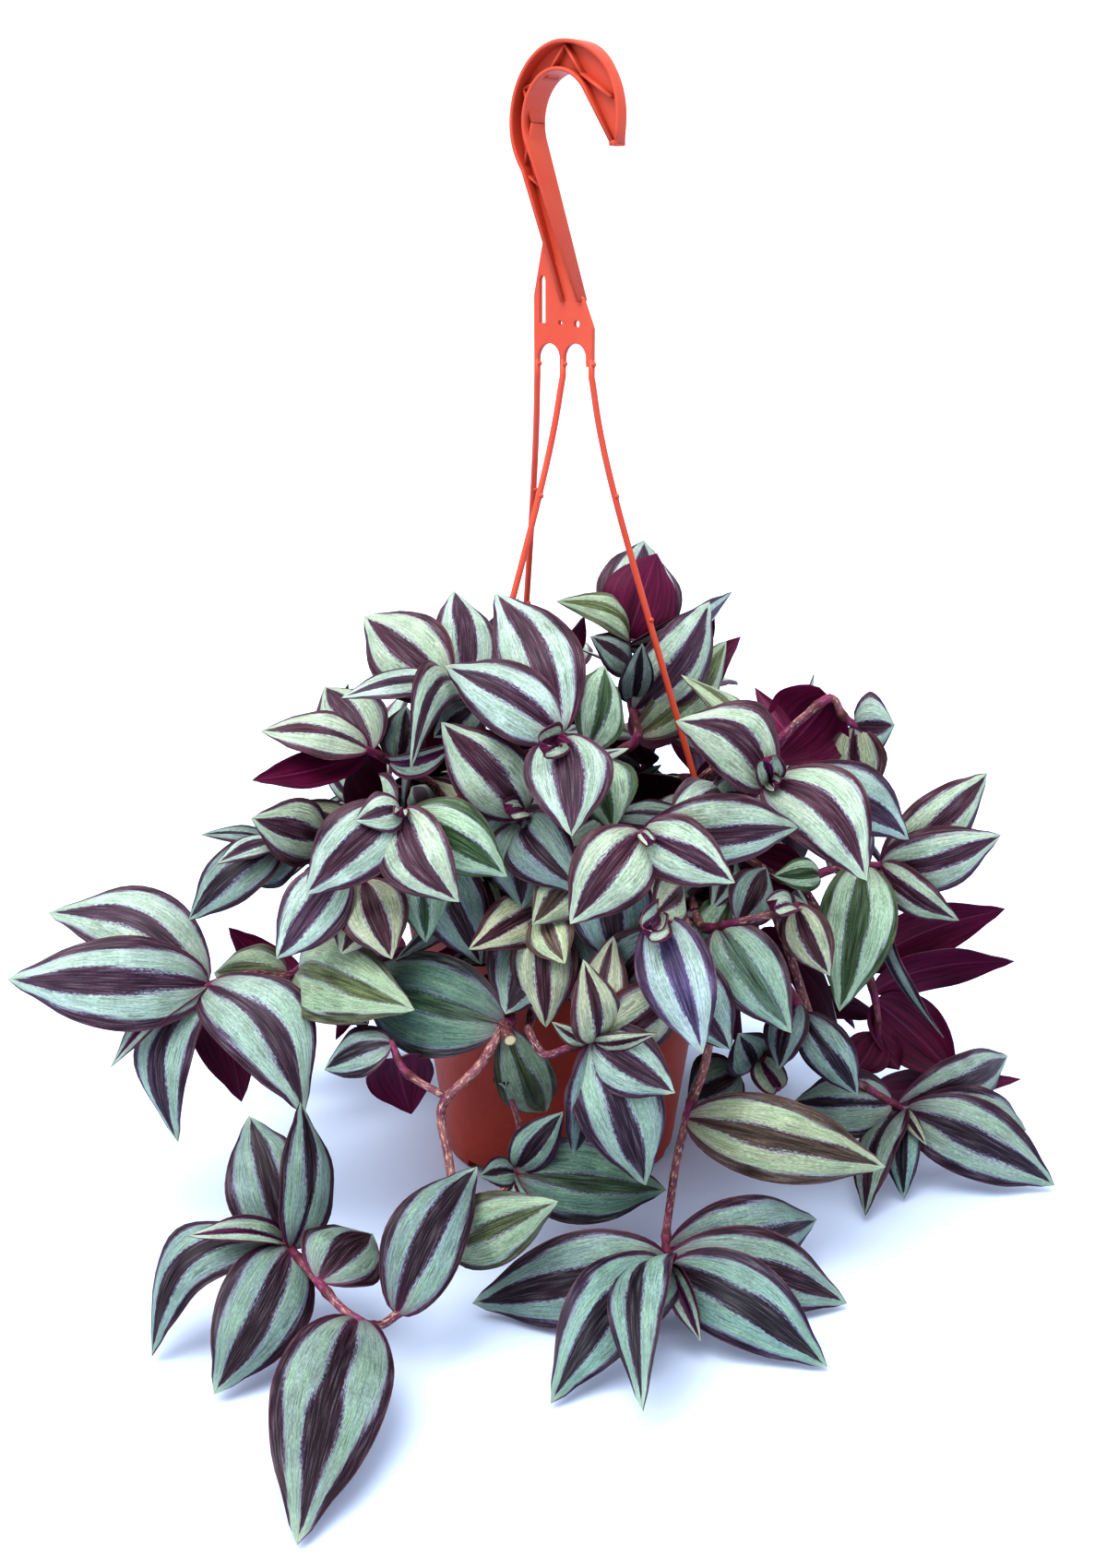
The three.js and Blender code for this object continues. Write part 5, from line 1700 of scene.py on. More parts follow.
@dataclass
class LeafyStem:
    """One grown stem with its twigs and leaves, and the knees and sheaths where leaves leave it."""

    name: str
    start: Vector
    onward: list[Vector]
    twigs: list[list[Vector]]
    leaves: list[Leaf]

    STEM_ENDS = (2.1, 1.4)
    TWIG_ENDS = (1.54, 1.12)
    COARSE = 2
    SEATS = 4
    FINE = 9
    SIDES = 9
    TOP = 110.0
    LUMP = 1.6
    ROOT_DEPTH = 14.0
    SHEATH = 7.0
    CUT = 2.5
    BARED = 3.0
    STATIONS = ((26.0, (0.1, 0.34, 0.62, 0.85)), (14.0, (0.14, 0.46, 0.8)), (0.0, (0.18, 0.62)))
    FINEST_HIDDEN = 25.0
    CURVED = 0.06
    KNEE = 1.6
    KNEE_SWELLS = 0.32
    SHEATH_SWELLS = 0.16
    YOUNG_FROM = 0.72
    YOUNG_MOST = 0.8
    SHEATH_YOUTH = 0.75
    KNEE_BROWN = 0.85
    CUT_BROWN = 0.5
    STEEP = 0.9

    @classmethod
    def stations_for(cls, width: float) -> tuple[float, ...]:
        """Gives the shares of a blade's length at which the construction model cuts it."""
        return next(at for least, at in cls.STATIONS if width >= least)

    @classmethod
    def line(cls, start: Vector, onward: Sequence[Vector], steps: int) -> list[Vector]:
        """Gives a stem's line: from down in the soil up to its surface, and on through its points."""
        bottom = Vector((start.x, start.y, cls.TOP - cls.ROOT_DEPTH))
        surface = Vector((start.x, start.y, cls.TOP + cls.LUMP + 1))
        return [bottom, *smooth([surface, *onward], steps)]

    @classmethod
    def from_view(cls, plan: StemPlan) -> "LeafyStem":
        """Makes a stem from where the view shows it.

        Args:
            plan: Where it is seen.

        Returns:
            The stem.
        """
        start = VIEW.turned(*plan.root, cls.TOP)
        rise = [VIEW.turned(*point) for point in plan.rise]
        onward = [*rise, *(VIEW.seen(*point) for point in plan.stem)]
        twigs = [[VIEW.seen(*point) for point in twig] for twig in plan.twigs]
        main = cls.line(start, onward, cls.COARSE)[cls.COARSE * len(rise) :]
        paths = [main, *(smooth(twig, cls.COARSE) for twig in twigs)]
        seats = [seat for path in paths for seat in stepped(path, cls.SEATS)]
        places = [VIEW.place_in_view(seat) for seat in seats]
        leaves = []
        for k, leaf in enumerate(LeafPlan(*row) for row in plan.leaves):
            apart = [math.hypot(column - leaf.column, row - leaf.row) for column, row in places]
            tip = VIEW.seen(leaf.tip_column, leaf.tip_row, leaf.forward)
            to_eye = (VIEW.eye - tip).normalized()
            look = (leaf.width, leaf.turn, leaf.tone, to_eye, leaf.column + 7 * k, leaf.arch)
            curve = leaf.curve + sway(cls.CURVED, leaf.row + k)
            leaves.append(Leaf(seats[nearest(apart)], tip, *look, curve, cls.stations_for(leaf.width)))
        return cls(plan.name, start, onward, twigs, leaves)

    @classmethod
    def from_ring(cls, ring: Ring, index: int, ring_index: int) -> "LeafyStem":
        """Makes a stem of a ring, with its leaves set round it by rule.

        Args:
            ring: The ring.
            index: The stem's place in the ring.
            ring_index: The ring's place among the rings.

        Returns:
            The stem.
        """
        rule = RingLeaves()
        bearing = math.radians(ring.bearings[index])
        seed = 1000 * (ring_index + 1) + 50 * index

        def out(radius: float, up: float) -> Vector:
            """Gives the point at a radius and height on the stem's bearing."""
            return VIEW.turned(radius * math.cos(bearing), -radius * math.sin(bearing), up)

        level = ring.level + sway(rule.raised, seed)
        reach = ring.reach * lerp(*rule.reaching, draw(seed + 1))
        low, high = rule.brow
        start = out(ring.root, cls.TOP)
        lift = out(ring.root + rule.lift[0], cls.TOP + rule.lift[1])
        crest = out(lerp(ring.root, reach, rule.brow_at), max(min(level, high), low))
        end = out(reach, level)
        slope = math.radians(ring.tilt)
        axis = (out(math.cos(slope), 0) + UP * math.sin(slope)).normalized()
        onward = [lift, crest, end - axis * (rule.straight * reach), end]
        seats = stepped(cls.line(start, onward, cls.COARSE)[1:], cls.SEATS)
        across = axis.cross(UP).normalized()
        other = across.cross(axis)
        facing = (axis + UP * rule.faces_up).normalized()
        leaves = []
        for k in range(rule.count):
            youth = k / (rule.count - 1)
            base = seats[math.floor(lerp(rule.first, 1, youth) * (len(seats) - 1) + 0.5)]
            spin = math.radians(k * rule.golden + 360 * draw(seed + 2) + rule.spun * draw(seed + 3 + k))
            spread = math.radians(lerp(rule.spread, rule.close, youth**rule.close_power))
            size = lerp(rule.long, rule.short, youth**rule.size_power)
            size *= lerp(*rule.sized, draw(seed + 12 + k))
            way = swung(axis, swung(across, other, spin), spread)
            tip = base + way * size - UP * (rule.sag * size * (1 - youth))
            tip.z = max(tip.z, rule.floor)
            width = size / rule.ratio
            turn = sway(rule.turned, seed + 22 + k)
            tone = rule.tones[int(draw(seed + 32 + k) * len(rule.tones))]
            curve = sway(rule.curved, seed + 42 + k)
            look = (width, turn, tone, facing, float(seed + k), BLADE.arch, curve)
            leaves.append(Leaf(base, tip, *look, cls.stations_for(min(width, cls.FINEST_HIDDEN))))
        return cls(f"{ring.name}_{index + 1}", start, onward, [], leaves)

    def older_leaves(self, line: Sequence[Vector], legs: Legs) -> list[Leaf]:
        """Sets the older leaves by rule, alternately to both sides, where the stem is still over the pot.

        Args:
            line: The stem's line.
            legs: The hanger's legs, which the leaves stay clear of.

        Returns:
            The leaves.
        """
        rule = OlderLeaves()
        low, high = (Vector(corner) / MM for corner in CAD_BOX)
        seed = 3.7 * self.start.x + 1.3 * self.start.y + 17 * len(self.leaves)
        bases = [leaf.base for leaf in self.leaves]
        near = [min((point - base).length for base in bases) for point in line]
        met = next((i for i, gap in enumerate(near) if gap < rule.last), len(near))
        end = nearest(near[: met + 1])
        made: list[Leaf] = []
        walked = rule.pitch - rule.first
        for i in range(2, end):
            walked += (line[i] - line[i - 1]).length
            if walked < rule.pitch or line[i].z < rule.over_pot:
                continue
            walked = 0.0
            k = len(made)
            base = line[i]
            along = (line[i + 1] - line[i - 1]).normalized()
            level = UP if abs(along.z) < rule.upright else Vector((base.x, base.y, 0.0))
            across = along.cross(level).normalized()
            spin = math.radians(180 * (k % 2) + sway(rule.jitter, seed + k))
            around = swung(across, across.cross(along), spin)
            size = lerp(rule.shortest, rule.longest, draw(seed + 31 + k))
            tip = base + (swung(along, around, math.radians(rule.swing)) - UP * rule.sag) * size
            if tip.xy.length < rule.pot_reach:
                tip.z = max(tip.z, rule.clear)
            outward = Vector((tip.x, tip.y, 0.0)).normalized()
            tone = rule.tones[int(draw(seed + 53 + k) * len(rule.tones))]
            turn = (180.0 if tone is UNDER else 0.0) + sway(rule.turned, seed + 71 + k)
            facing = (UP * rule.faces_up + outward * rule.faces_out).normalized()
            curve = sway(rule.curved, seed + 83 + k)
            leaf = Leaf(base, tip, size / rule.ratio, turn, tone, facing, seed + 97 + k, curve=curve)
            cuts = [leaf.section(t) for t in rule.tested]
            free = all(legs.clear_of(cut, rule.from_leg) for cut in cuts)
            inside = all(low[a] + rule.edge < tip[a] < high[a] - rule.edge for a in range(3))
            if free and inside and tip.xy.length < rule.farthest:
                made.append(leaf)
        return made

    def add_stalk(
        self, form: Form, line: Sequence[Vector], ends: Flat, seats: Sequence[Vector], cut: bool
    ) -> None:
        """Adds the skin of a stem or twig, swollen at its knees and sheathed below each leaf.

        Args:
            form: The mesh that it goes in.
            line: Its middle.
            ends: Its radius at its root and at its end.
            seats: Where leaves leave it.
            cut: Whether it ends in a flat cut that bares its pith.
        """
        thick, thin = (self.CUT, self.CUT) if cut else ends
        far = distances(line)
        met = [far[nearest([(point - seat).length for point in line])] for seat in seats]
        radii, youths, knees = [], [], []
        for i, here in enumerate(far):
            share = i / (len(far) - 1)
            radius = lerp(thick, thin, share)
            youth = max(0.0, share - self.YOUNG_FROM) / (1 - self.YOUNG_FROM) * self.YOUNG_MOST
            brown = 0.0
            if cut:
                youth, brown = 0.0, self.CUT_BROWN
            for spot in met:
                below = spot - here
                knee = math.exp(-(((below - self.SHEATH) / self.KNEE) ** 2))
                brown = max(brown, self.KNEE_BROWN * knee)
                sheath = 1.0 if 0 <= below < self.SHEATH else 0.0
                swollen = 1 + self.KNEE_SWELLS * knee + self.SHEATH_SWELLS * sheath
                radius = max(radius, lerp(thick, thin, share) * swollen)
                youth = max(youth, self.SHEATH_YOUTH * sheath)
            radii.append(radius)
            youths.append(youth)
            knees.append(brown)
        rise = (line[1] - line[0]).normalized()
        start = Vector((1.0, 0.0, 0.0)) if abs(rise.z) > self.STEEP else UP
        made = form.sweep(line, self.SIDES, lambda station, turn: on_circle(turn, radii[station]), start)
        stripe = form.mesh.verts.layers.float_vector["stripe"]
        tree = tree_of(line)
        for vert in made:
            station = tree.find(vert.co)[1]
            vert[stripe] = (youths[station], knees[station], 0.0)
            for face in vert.link_faces:
                face.material_index = Leaf.STALK
        if cut:
            end = min(made, key=lambda vert: (vert.co - line[-1]).length)
            end[stripe] = (0.0, 0.0, self.BARED)

    def build(self, finishes: Sequence[bpy.types.Material], legs: Legs) -> bpy.types.Object:
        """Makes the stem with every leaf that the construction model holds, and its older leaves.

        Args:
            finishes: The finishes of a leaf's upper skin and under skin, and of a stem's skin.
            legs: The hanger's legs.

        Returns:
            The finished piece.
        """
        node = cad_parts[self.name].data
        corners = tree_of([vert.co / MM for vert in node.vertices])
        leaves = [found for leaf in self.leaves if (found := leaf.as_built(corners))]
        main = self.line(self.start, self.onward, self.FINE)
        paths = [main, *(smooth(twig, self.FINE) for twig in self.twigs)]
        found_count = len(leaves)
        leaves += self.older_leaves(main, legs)
        seats: list[list[Vector]] = [[] for _ in paths]
        for leaf in leaves:
            apart = [min((point - leaf.base).length for point in path) for path in paths]
            seats[nearest(apart)].append(leaf.base)
        form = Form(living=True)
        for leaf in leaves:
            leaf.add_to(form)
        for i, path in enumerate(paths):
            ends = self.TWIG_ENDS if i else self.STEM_ENDS
            self.add_stalk(form, path, ends, seats[i], cut=i > 0 and len(self.twigs[i - 1]) == 2)
        counts = (found_count, len(self.leaves), len(leaves) - found_count)
        LOG.info("%s: %d of %d leaves, %d older ones", self.name, *counts)
        return form.piece(f"leafy_{self.name}", [self.name], "leafy_stem", finishes)


RINGS = (
    Ring("stem_back_high", (42, 86, 132), root=25, reach=66, level=200, tilt=62),
    Ring("stem_back_mid", (14, 48, 82, 122, 152), root=44, reach=124, level=150, tilt=22),
    Ring("stem_back_low", (30, 66, 90, 124, 158), root=54, reach=142, level=48, tilt=-12),
    Ring("stem_side", (-12, 190), root=36, reach=84, level=160, tilt=26),
    Ring("stem_inner", (-128,), root=14, reach=34, level=150, tilt=40),
)

FRONT_STEMS = (
    StemPlan(
        "stem_crown_front", root=(18, 22), rise=((22, 42, 150),),
        stem=((662, 850, 70), (636, 812, 88), (603, 797, 103)),
        leaves=(
            (612, 775, 537, 643, 66, 33, 0, SILVER, 0.14, 0.08),
            (598, 792, 482, 722, 86, 28, 8, SILVER, 0.14, 0.06), (610, 797, 620, 907, 132, 33, 0, SILVER),
            (602, 797, 555, 825, 122, 15, -10, YOUNG, 0.22), (636, 812, 655, 722, 60, 24, 30, GREEN),
            (650, 830, 665, 900, 104, 26, 10, GREEN), (601, 799, 590, 792, 116, 6, 0, YOUNG),
        ),
    ),
    StemPlan(
        "stem_front_high", root=(2, 26), rise=((6, 60, 140),),
        stem=((642, 935, 104), (665, 912, 120), (700, 903, 133)),
        leaves=(
            (702, 895, 865, 897, 118, 29, 20, TAWNY, 0.2, -0.08),
            (695, 905, 618, 1002, 152, 30, 0, TAWNY),
            (705, 910, 797, 957, 152, 25, 12, TAWNY, 0.14, -0.07), (704, 908, 720, 933, 144, 6, 0, YOUNG),
            (648, 925, 577, 1003, 122, 25, 0, YELLOW), (655, 925, 672, 1052, 112, 32, 0, SHADE),
        ),
    ),
    StemPlan(
        "stem_front_mid", root=(20, 40), rise=((26, 66, 132),),
        stem=((722, 1035, 112), (714, 1000, 132), (711, 988, 141)),
        leaves=(
            (720, 995, 762, 1142, 160, 28, 0, VIOLET), (710, 985, 672, 1022, 156, 17, -20, YOUNG, 0.24),
            (713, 992, 700, 1030, 154, 12, 10, YOUNG), (722, 1032, 792, 1138, 112, 28, 10, SILVER),
            (718, 1010, 650, 1098, 110, 27, 0, SHADE), (712, 985, 740, 960, 122, 20, 20, PALE),
        ),
    ),
    StemPlan(
        "stem_left_front", root=(-30, 30), rise=((-42, 58, 145),),
        stem=((462, 925, 88), (446, 895, 103), (432, 878, 112)),
        leaves=(
            (425, 885, 332, 970, 124, 29, 8, SILVER, 0.14, 0.04),
            (435, 882, 498, 978, 136, 28, 8, TAWNY, 0.14, 0.08),
            (452, 880, 550, 950, 120, 28, 12, GREEN, 0.14, -0.11),
            (436, 875, 385, 890, 122, 17, 20, SILVER, 0.24), (433, 880, 428, 900, 128, 7, 0, YOUNG),
            (458, 912, 462, 1022, 104, 24, 0, GREEN), (462, 922, 522, 1046, 102, 28, 0, SHADE),
        ),
    ),
    StemPlan(
        "stem_right_high", root=(28, 6), rise=((42, 28, 160),),
        stem=((800, 866, 68), (822, 856, 82), (836, 846, 92)),
        leaves=(
            (830, 845, 732, 782, 92, 31, 5, TAWNY, 0.14, 0.16),
            (838, 850, 940, 955, 118, 33, 0, TAWNY, 0.14, -0.12),
            (842, 842, 985, 910, 80, 29, 15, SILVER, 0.14, -0.12),
            (836, 842, 820, 800, 100, 14, 10, YOUNG), (820, 850, 738, 732, 58, 20, 50, OLIVE, 0.24),
            (838, 848, 856, 862, 104, 9, 0, YOUNG), (806, 862, 770, 870, 82, 24, 20, SHADE),
        ),
    ),
    StemPlan(
        "stem_left_high", root=(-22, 5), rise=((-30, 22, 160),),
        stem=((520, 776, 54), (500, 752, 66), (484, 745, 76)),
        leaves=(
            (484, 742, 395, 668, 52, 33, 0, TAWNY), (478, 746, 370, 757, 92, 15, 40, SILVER),
            (502, 752, 492, 641, 28, 26, 15, SILVER),
            (490, 752, 445, 835, 108, 20, -35, TAWNY, 0.28, 0.37), (484, 748, 460, 742, 88, 8, 0, YOUNG),
            (512, 770, 470, 800, 74, 18, 10, SHADE),
        ),
    ),
    StemPlan(
        "stem_front_low", root=(2, 48), rise=((-2, 66, 128), (-6, 84, 126)),
        stem=((576, 1098, 108), (574, 1118, 120), (590, 1143, 129), (614, 1137, 134), (648, 1127, 140)),
        leaves=(
            (650, 1128, 700, 1285, 150, 33, 0, SILVER), (656, 1126, 732, 1185, 150, 26, 10, SILVER),
            (655, 1126, 712, 1120, 150, 8, 30, PALE), (642, 1130, 622, 1252, 140, 26, -48, SHADE),
            (645, 1122, 665, 1015, 124, 22, -20, PALE), (650, 1124, 740, 1060, 130, 27, 20, PALE),
            (638, 1128, 598, 1108, 146, 9, -30, PALE), (646, 1124, 632, 1040, 118, 20, 20, PALE),
        ),
    ),
    StemPlan(
        "stem_front_runner", root=(-18, 46), rise=((-20, 64, 129), (-21, 82, 131)),
        stem=(
            (553, 1100, 117), (546, 1112, 123), (520, 1155, 129), (485, 1190, 132),
            (478, 1212, 134), (487, 1260, 140), (493, 1320, 150), (480, 1370, 167),
            (443, 1413, 190), (408, 1438, 205), (375, 1422, 203), (345, 1390, 190),
            (322, 1362, 176), (306, 1346, 166),
        ),
        twigs=(
            ((485, 1190, 132), (440, 1162, 129), (424, 1128, 122)),
            ((487, 1345, 159), (528, 1308, 138), (558, 1272, 118), (563, 1222, 110), (541, 1158, 110)),
            ((547, 1112, 123), (553, 1128, 132)),
        ),
        leaves=(
            (305, 1345, 165, 1470, 190, 26, 30, SHADE, 0.26, 0.18),
            (315, 1355, 232, 1512, 211, 33, 0, SHADE), (385, 1435, 322, 1675, 292, 38, 0, SHADE, 0.1),
            (318, 1352, 325, 1195, 140, 27, 42, SHADE), (310, 1345, 270, 1210, 142, 32, 0, SHADE),
            (305, 1342, 203, 1340, 185, 13, 30, YOUNG), (345, 1388, 404, 1338, 158, 32, -20, SHADE),
            (425, 1422, 517, 1265, 160, 29, 5, SHADE, 0.14, -0.1),
            (488, 1352, 605, 1302, 172, 27, 5, OLIVE), (546, 1108, 388, 1056, 72, 40, 0, DARK),
            (425, 1130, 352, 1160, 118, 21, 30, SHADE), (430, 1150, 446, 1208, 108, 26, 180, UNDER),
            (546, 1112, 592, 1205, 82, 23, 0, OLIVE), (560, 1268, 610, 1205, 118, 18, 10, SILVER),
            (558, 1275, 520, 1275, 128, 13, 20, SHADE), (560, 1272, 610, 1335, 134, 11, 30, YOUNG, 0.24),
            (541, 1160, 548, 1180, 120, 7, 0, SHADE), (566, 1275, 722, 1290, 112, 33, 0, DARK, 0.08),
        ),
    ),
    StemPlan(
        "stem_front_floor", root=(30, 42), rise=((42, 66, 131), (48, 82, 128)),
        stem=(
            (770, 1080, 98), (765, 1150, 104), (748, 1200, 112), (735, 1250, 122),
            (727, 1300, 134), (722, 1345, 150), (727, 1378, 166),
        ),
        leaves=(
            (718, 1370, 512, 1413, 151, 34, 0, SHADE),
            (727, 1380, 597, 1522, 214, 31, 0, SILVER, 0.14, 0.06),
            (728, 1385, 697, 1530, 219, 24, 35, SILVER), (730, 1385, 760, 1455, 196, 12, 10, YOUNG),
            (732, 1378, 897, 1482, 196, 31, 0, SILVER, 0.14, -0.05),
            (728, 1365, 918, 1413, 152, 30, 0, SHADE, 0.14, -0.06),
            (725, 1352, 885, 1322, 112, 31, 5, SHADE), (745, 1215, 960, 1265, 122, 32, 0, YELLOW, 0.18),
        ),
    ),
    StemPlan(
        "stem_left_spray", root=(-50, 20), rise=((-70, 34, 131), (-90, 48, 128)),
        stem=((325, 1052, 66), (270, 1056, 75), (220, 1070, 83)),
        leaves=(
            (218, 1068, 8, 1062, 98, 37, 5, SILVER), (222, 1062, 52, 990, 60, 34, 15, SILVER, 0.14, 0.12),
            (214, 1075, 120, 1157, 104, 13, 25, YOUNG),
            (222, 1070, 193, 1238, 100, 28, 35, SILVER, 0.14, 0.15),
            (226, 1068, 330, 1208, 114, 37, 0, SILVER, 0.14, -0.13),
            (228, 1072, 262, 1195, 70, 28, 180, UNDER), (322, 1052, 450, 1095, 132, 36, 0, OLIVE),
            (312, 1050, 232, 1055, 54, 24, 20, OLIVE), (340, 1052, 400, 1110, 46, 24, 10, SHADE),
        ),
    ),
    StemPlan(
        "stem_right_arm", root=(44, 16), rise=((66, 38, 143),),
        stem=((855, 955, 58), (905, 942, 57), (962, 938, 54)),
        leaves=(
            (965, 925, 1070, 838, 34, 27, 20, TAWNY), (968, 938, 1085, 905, 62, 28, 20, TAWNY),
            (966, 942, 1040, 998, 78, 18, 20, TAWNY), (935, 942, 910, 1097, 92, 31, 0, GREEN),
            (962, 942, 1023, 1125, 62, 20, 70, SILVER), (885, 945, 838, 950, 74, 14, 10, GREEN),
            (870, 950, 800, 925, 44, 22, 180, UNDER), (900, 942, 940, 880, 30, 24, 20, SHADE),
        ),
    ),
    StemPlan(
        "stem_right_runner", root=(36, 34), rise=((50, 58, 131),),
        stem=((762, 1005, 90), (800, 1000, 100), (840, 990, 102), (866, 982, 100)),
        leaves=(
            (778, 1003, 858, 1120, 134, 28, 0, JADE), (858, 985, 808, 1005, 120, 13, 20, YOUNG, 0.24),
            (864, 985, 900, 1058, 112, 19, 10, PALE), (862, 985, 878, 1035, 96, 17, 10, SILVER),
            (800, 1000, 830, 940, 80, 22, 20, SHADE),
        ),
    ),
    StemPlan(
        "stem_right_floor", root=(46, 26), rise=((68, 36, 130), (86, 44, 121)),
        stem=((885, 1120, 52), (912, 1160, 50), (945, 1183, 46), (985, 1206, 42)),
        leaves=(
            (988, 1210, 1143, 1285, 48, 33, 0, STONE, 0.14, -0.05),
            (985, 1198, 1112, 1225, 14, 30, 12, STONE), (980, 1205, 938, 1318, 70, 21, 40, STONE),
            (985, 1212, 980, 1300, 64, 16, 10, SILVER), (968, 1192, 860, 1195, 40, 29, 0, STONE),
            (972, 1196, 1092, 1145, -12, 26, 20, STONE), (950, 1186, 1107, 1170, -8, 18, 180, UNDER),
            (987, 1212, 1005, 1242, 56, 7, 0, PALE),
        ),
    ),
    StemPlan(
        "stem_right_low", root=(50, -6), rise=((72, -2, 132), (92, 2, 133)),
        stem=((905, 1015, 14), (938, 1052, 16), (950, 1090, 16), (952, 1125, 14)),
        leaves=(
            (935, 1048, 1090, 985, 16, 25, 200, UNDER), (948, 1075, 1100, 1042, 26, 22, 220, UNDER),
            (946, 1088, 1040, 1170, 30, 30, 180, UNDER), (950, 1120, 975, 1160, 20, 16, 170, UNDER),
            (951, 1120, 925, 1165, 20, 20, 180, UNDER), (915, 1025, 890, 1000, 22, 26, 10, SHADE),
        ),
    ),
    StemPlan(
        "stem_crown_top", root=(10, -8), rise=((16, 4, 168),),
        stem=((690, 802, 12), (684, 760, 6), (680, 716, 0), (680, 690, -4)),
        leaves=(
            (678, 694, 698, 586, -34, 38, 12, SILVER), (680, 690, 712, 600, -18, 33, 10, UNDER),
            (678, 690, 603, 652, 16, 18, 40, OLIVE, 0.24), (682, 700, 793, 642, -40, 20, 50, SILVER),
            (684, 770, 769, 652, -14, 31, 20, SILVER), (690, 795, 787, 695, -24, 24, 20, OLIVE),
            (680, 720, 640, 690, 20, 18, 30, SHADE), (686, 762, 696, 697, 14, 15, 20, SHADE),
            (690, 800, 803, 690, -44, 26, 180, UNDER),
        ),
    ),
    StemPlan(
        "stem_right_twig", root=(40, -6), rise=((58, 8, 165),),
        stem=((828, 816, 48), (866, 782, 52), (900, 757, 48), (914, 777, 46), (930, 788, 46)),
        leaves=(
            (900, 757, 836, 828, 40, 36, 180, UNDER), (926, 785, 970, 786, 50, 27, 10, SILVER),
            (930, 790, 938, 864, 44, 25, 20, PALE), (852, 795, 818, 745, 30, 9, 180, UNDER),
        ),
    ),
    StemPlan(
        "stem_left_upper", root=(-38, -4), rise=((-50, 12, 160),),
        stem=((445, 838, 44), (418, 822, 54), (396, 812, 60)),
        leaves=(
            (402, 815, 352, 745, 34, 29, 10, TAWNY), (398, 811, 283, 793, 62, 24, 40, TAWNY),
            (397, 807, 273, 846, 80, 17, 208, UNDER), (420, 824, 495, 806, 66, 15, 30, YOUNG),
            (432, 830, 440, 765, 40, 20, 20, SHADE),
        ),
    ),
    StemPlan(
        "stem_left_side", root=(-48, 8), rise=((-70, 20, 148),),
        stem=((385, 912, 62), (340, 912, 70), (300, 918, 72)),
        leaves=(
            (350, 908, 272, 887, 88, 27, 5, TAWNY), (385, 905, 305, 875, 70, 18, 20, PALE),
            (298, 916, 218, 905, 78, 10, 40, SHADE), (300, 918, 235, 937, 88, 12, 40, SILVER),
            (305, 925, 205, 998, 84, 25, 30, SHADE), (330, 915, 262, 950, 60, 24, 20, SHADE),
        ),
    ),
    StemPlan(
        "stem_left_low", root=(-35, 40), rise=((-52, 66, 138),),
        stem=((412, 965, 94), (388, 950, 100), (370, 942, 102)),
        leaves=(
            (372, 945, 300, 1040, 116, 26, 10, SILVER), (395, 955, 425, 1040, 120, 27, 0, PALE),
            (410, 962, 370, 1035, 98, 26, 10, PALE), (372, 942, 330, 1000, 88, 24, 20, SHADE),
        ),
    ),
    StemPlan(
        "stem_middle", root=(-12, 30), rise=((-14, 54, 140),),
        stem=((575, 910, 84), (567, 876, 96)),
        leaves=(
            (565, 872, 478, 783, 88, 30, 5, TAWNY), (568, 880, 528, 890, 112, 12, 20, YOUNG),
            (572, 890, 566, 985, 106, 30, 0, SHADE), (574, 895, 632, 968, 100, 28, 10, SHADE),
            (570, 885, 508, 972, 98, 30, 10, SHADE),
        ),
    ),
    StemPlan(
        "stem_front_upper", root=(-12, 38), rise=((-16, 62, 138),),
        stem=((592, 1000, 100), (588, 988, 112)),
        leaves=(
            (586, 988, 508, 1030, 130, 22, 10, PALE), (590, 992, 613, 1045, 130, 20, 10, YELLOW),
            (590, 995, 592, 1114, 122, 26, 10, PALE), (592, 1000, 548, 1100, 112, 34, 0, SHADE),
            (592, 998, 640, 1092, 114, 30, 0, SHADE),
        ),
    ),
    StemPlan(
        "stem_right_front_low", root=(44, 34), rise=((60, 52, 131), (73, 66, 122)),
        stem=((862, 1085, 88), (868, 1102, 90), (848, 1130, 88), (822, 1152, 84), (795, 1166, 80)),
        leaves=(
            (868, 1098, 930, 1187, 96, 20, 10, SHADE), (825, 1150, 858, 1200, 100, 16, 10, YOUNG),
            (800, 1162, 745, 1195, 84, 28, 10, SHADE), (862, 1090, 845, 1160, 104, 18, 20, SHADE),
            (815, 1155, 800, 1120, 92, 22, 20, SHADE),
        ),
    ),
)


# Studio


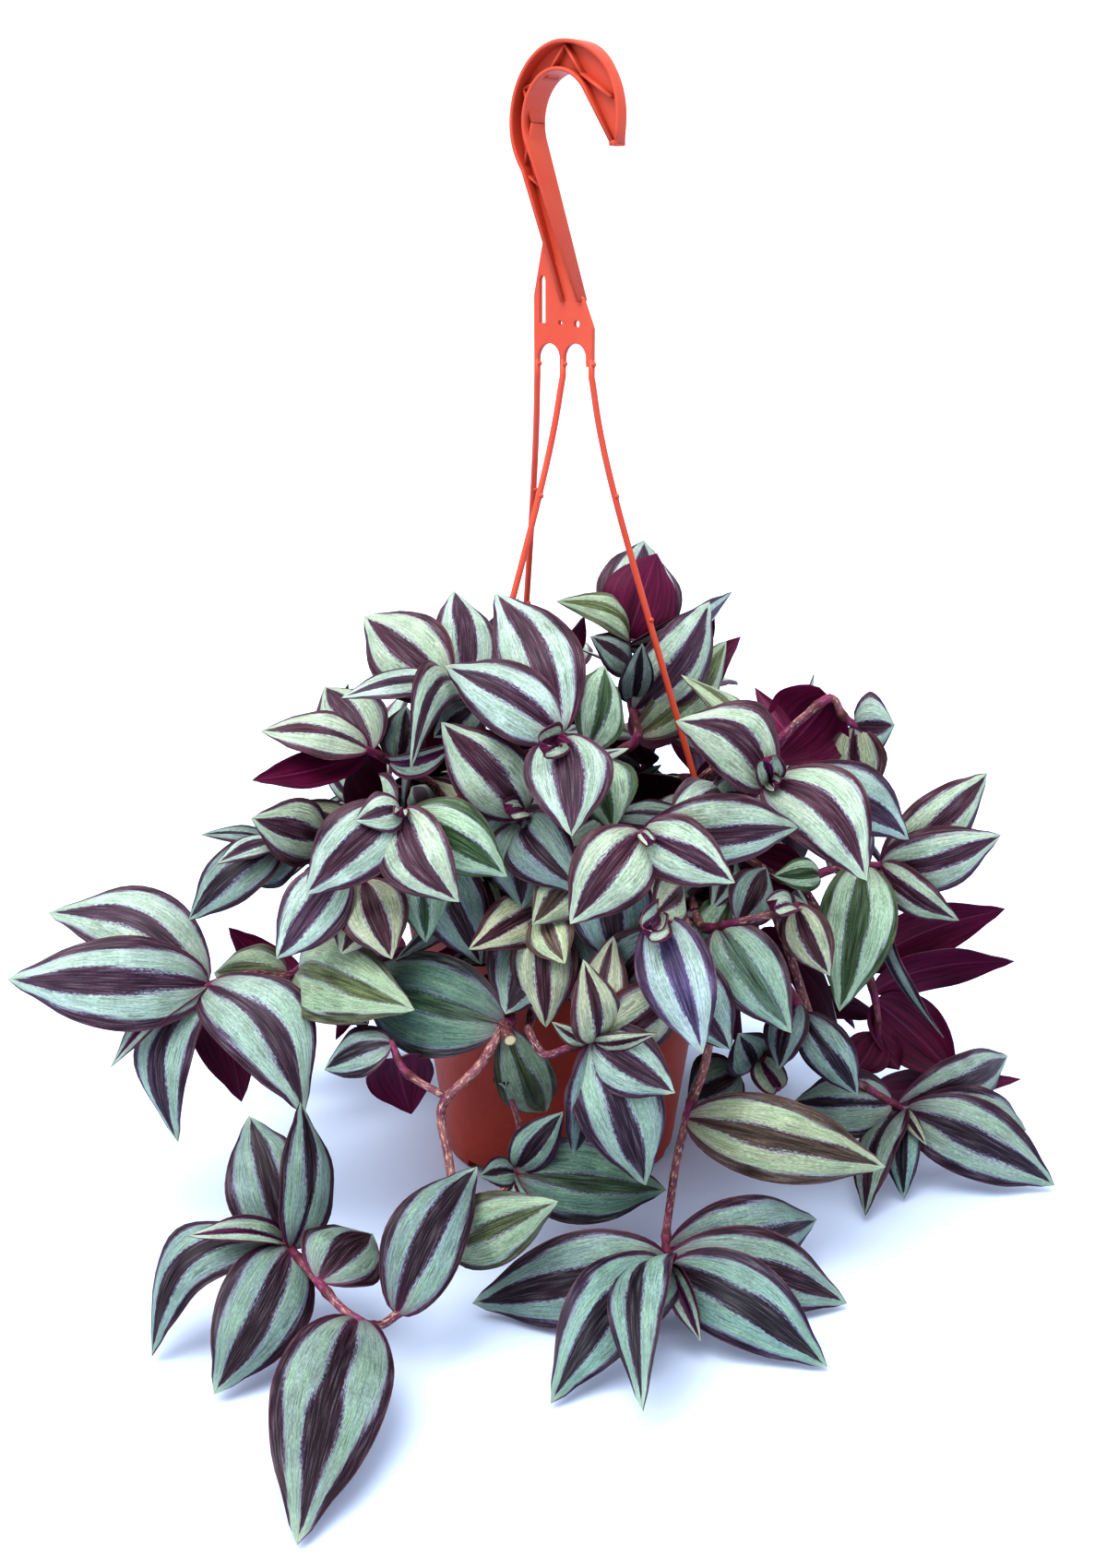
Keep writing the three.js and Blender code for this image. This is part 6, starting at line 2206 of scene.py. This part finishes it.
@dataclass
class Studio:
    """A pale top and plain soft light, mostly from above and in front on the left."""

    ground: float = 40.0
    sky: str = "FAFBFF"
    sky_strength: float = 1.06
    key_strength: float = 2.55
    key_spread: float = 50.0
    key_place: Spot = (-350.0, 420.0, 1150.0)
    key_aim: float = 150.0
    look: str = "High Contrast"

    def build(self) -> None:
        """Makes the floor, the sky and the soft key light."""
        form = bmesh.new()
        bmesh.ops.create_grid(form, x_segments=1, y_segments=1, size=self.ground / 2)
        data = bpy.data.meshes.new("pale_top")
        form.to_mesh(data)
        form.free()
        data.materials.append(PaleTop().make())
        floor = bpy.data.objects.new("pale_top", data)
        bpy.context.scene.collection.objects.link(floor)
        floor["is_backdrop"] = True

        world = bpy.data.worlds.new("soft_sky")
        world.use_nodes = True
        tree = world.node_tree
        tree.nodes.clear()
        sky = add_node(tree, "ShaderNodeBackground", (linear(self.sky), self.sky_strength))
        add_node(tree, "ShaderNodeOutputWorld", {"Surface": sky[0]})
        bpy.context.scene.world = world

        key = bpy.data.lights.new("key", "SUN")
        key.energy, key.angle = self.key_strength, math.radians(self.key_spread)
        lamp = bpy.data.objects.new("key", key)
        lamp.location = VIEW.turned(*self.key_place) * MM
        aim = UP * self.key_aim * MM - lamp.location
        lamp.rotation_euler = aim.to_track_quat("-Z", "Y").to_euler()
        bpy.context.scene.collection.objects.link(lamp)
        view = bpy.context.scene.view_settings
        view.view_transform = "Standard"
        view.look = self.look


def write_sizes() -> None:
    """Measures the construction model's box and the dressed model's box, in metres, and keeps neither."""
    boxes = {"cad": CAD_BOX, "visual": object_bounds()}
    {name: [list(corner) for corner in box] for name, box in boxes.items()}


def main() -> None:
    """Builds the camera, the pot and its soil, the hanger, the stems and the studio."""
    logging.basicConfig(level=logging.INFO, format="%(message)s")
    VIEW.make_camera()
    pot = Pot()
    pot.build()
    Soil(pot).build()
    hanger = Hanger(pot)
    hanger.build()
    legs = Legs(hanger.leg_lines())
    finishes = [LeafUpperSkin().make(), LeafUnderSkin().make(), StemSkin().make()]
    stems = [LeafyStem.from_view(plan) for plan in FRONT_STEMS]
    for ring_index, ring in enumerate(RINGS):
        stems += [LeafyStem.from_ring(ring, index, ring_index) for index in range(len(ring.bearings))]
    for stem in stems:
        stem.build(finishes, legs)
    Studio().build()
    write_sizes()


if __name__ == "__main__":
    main()
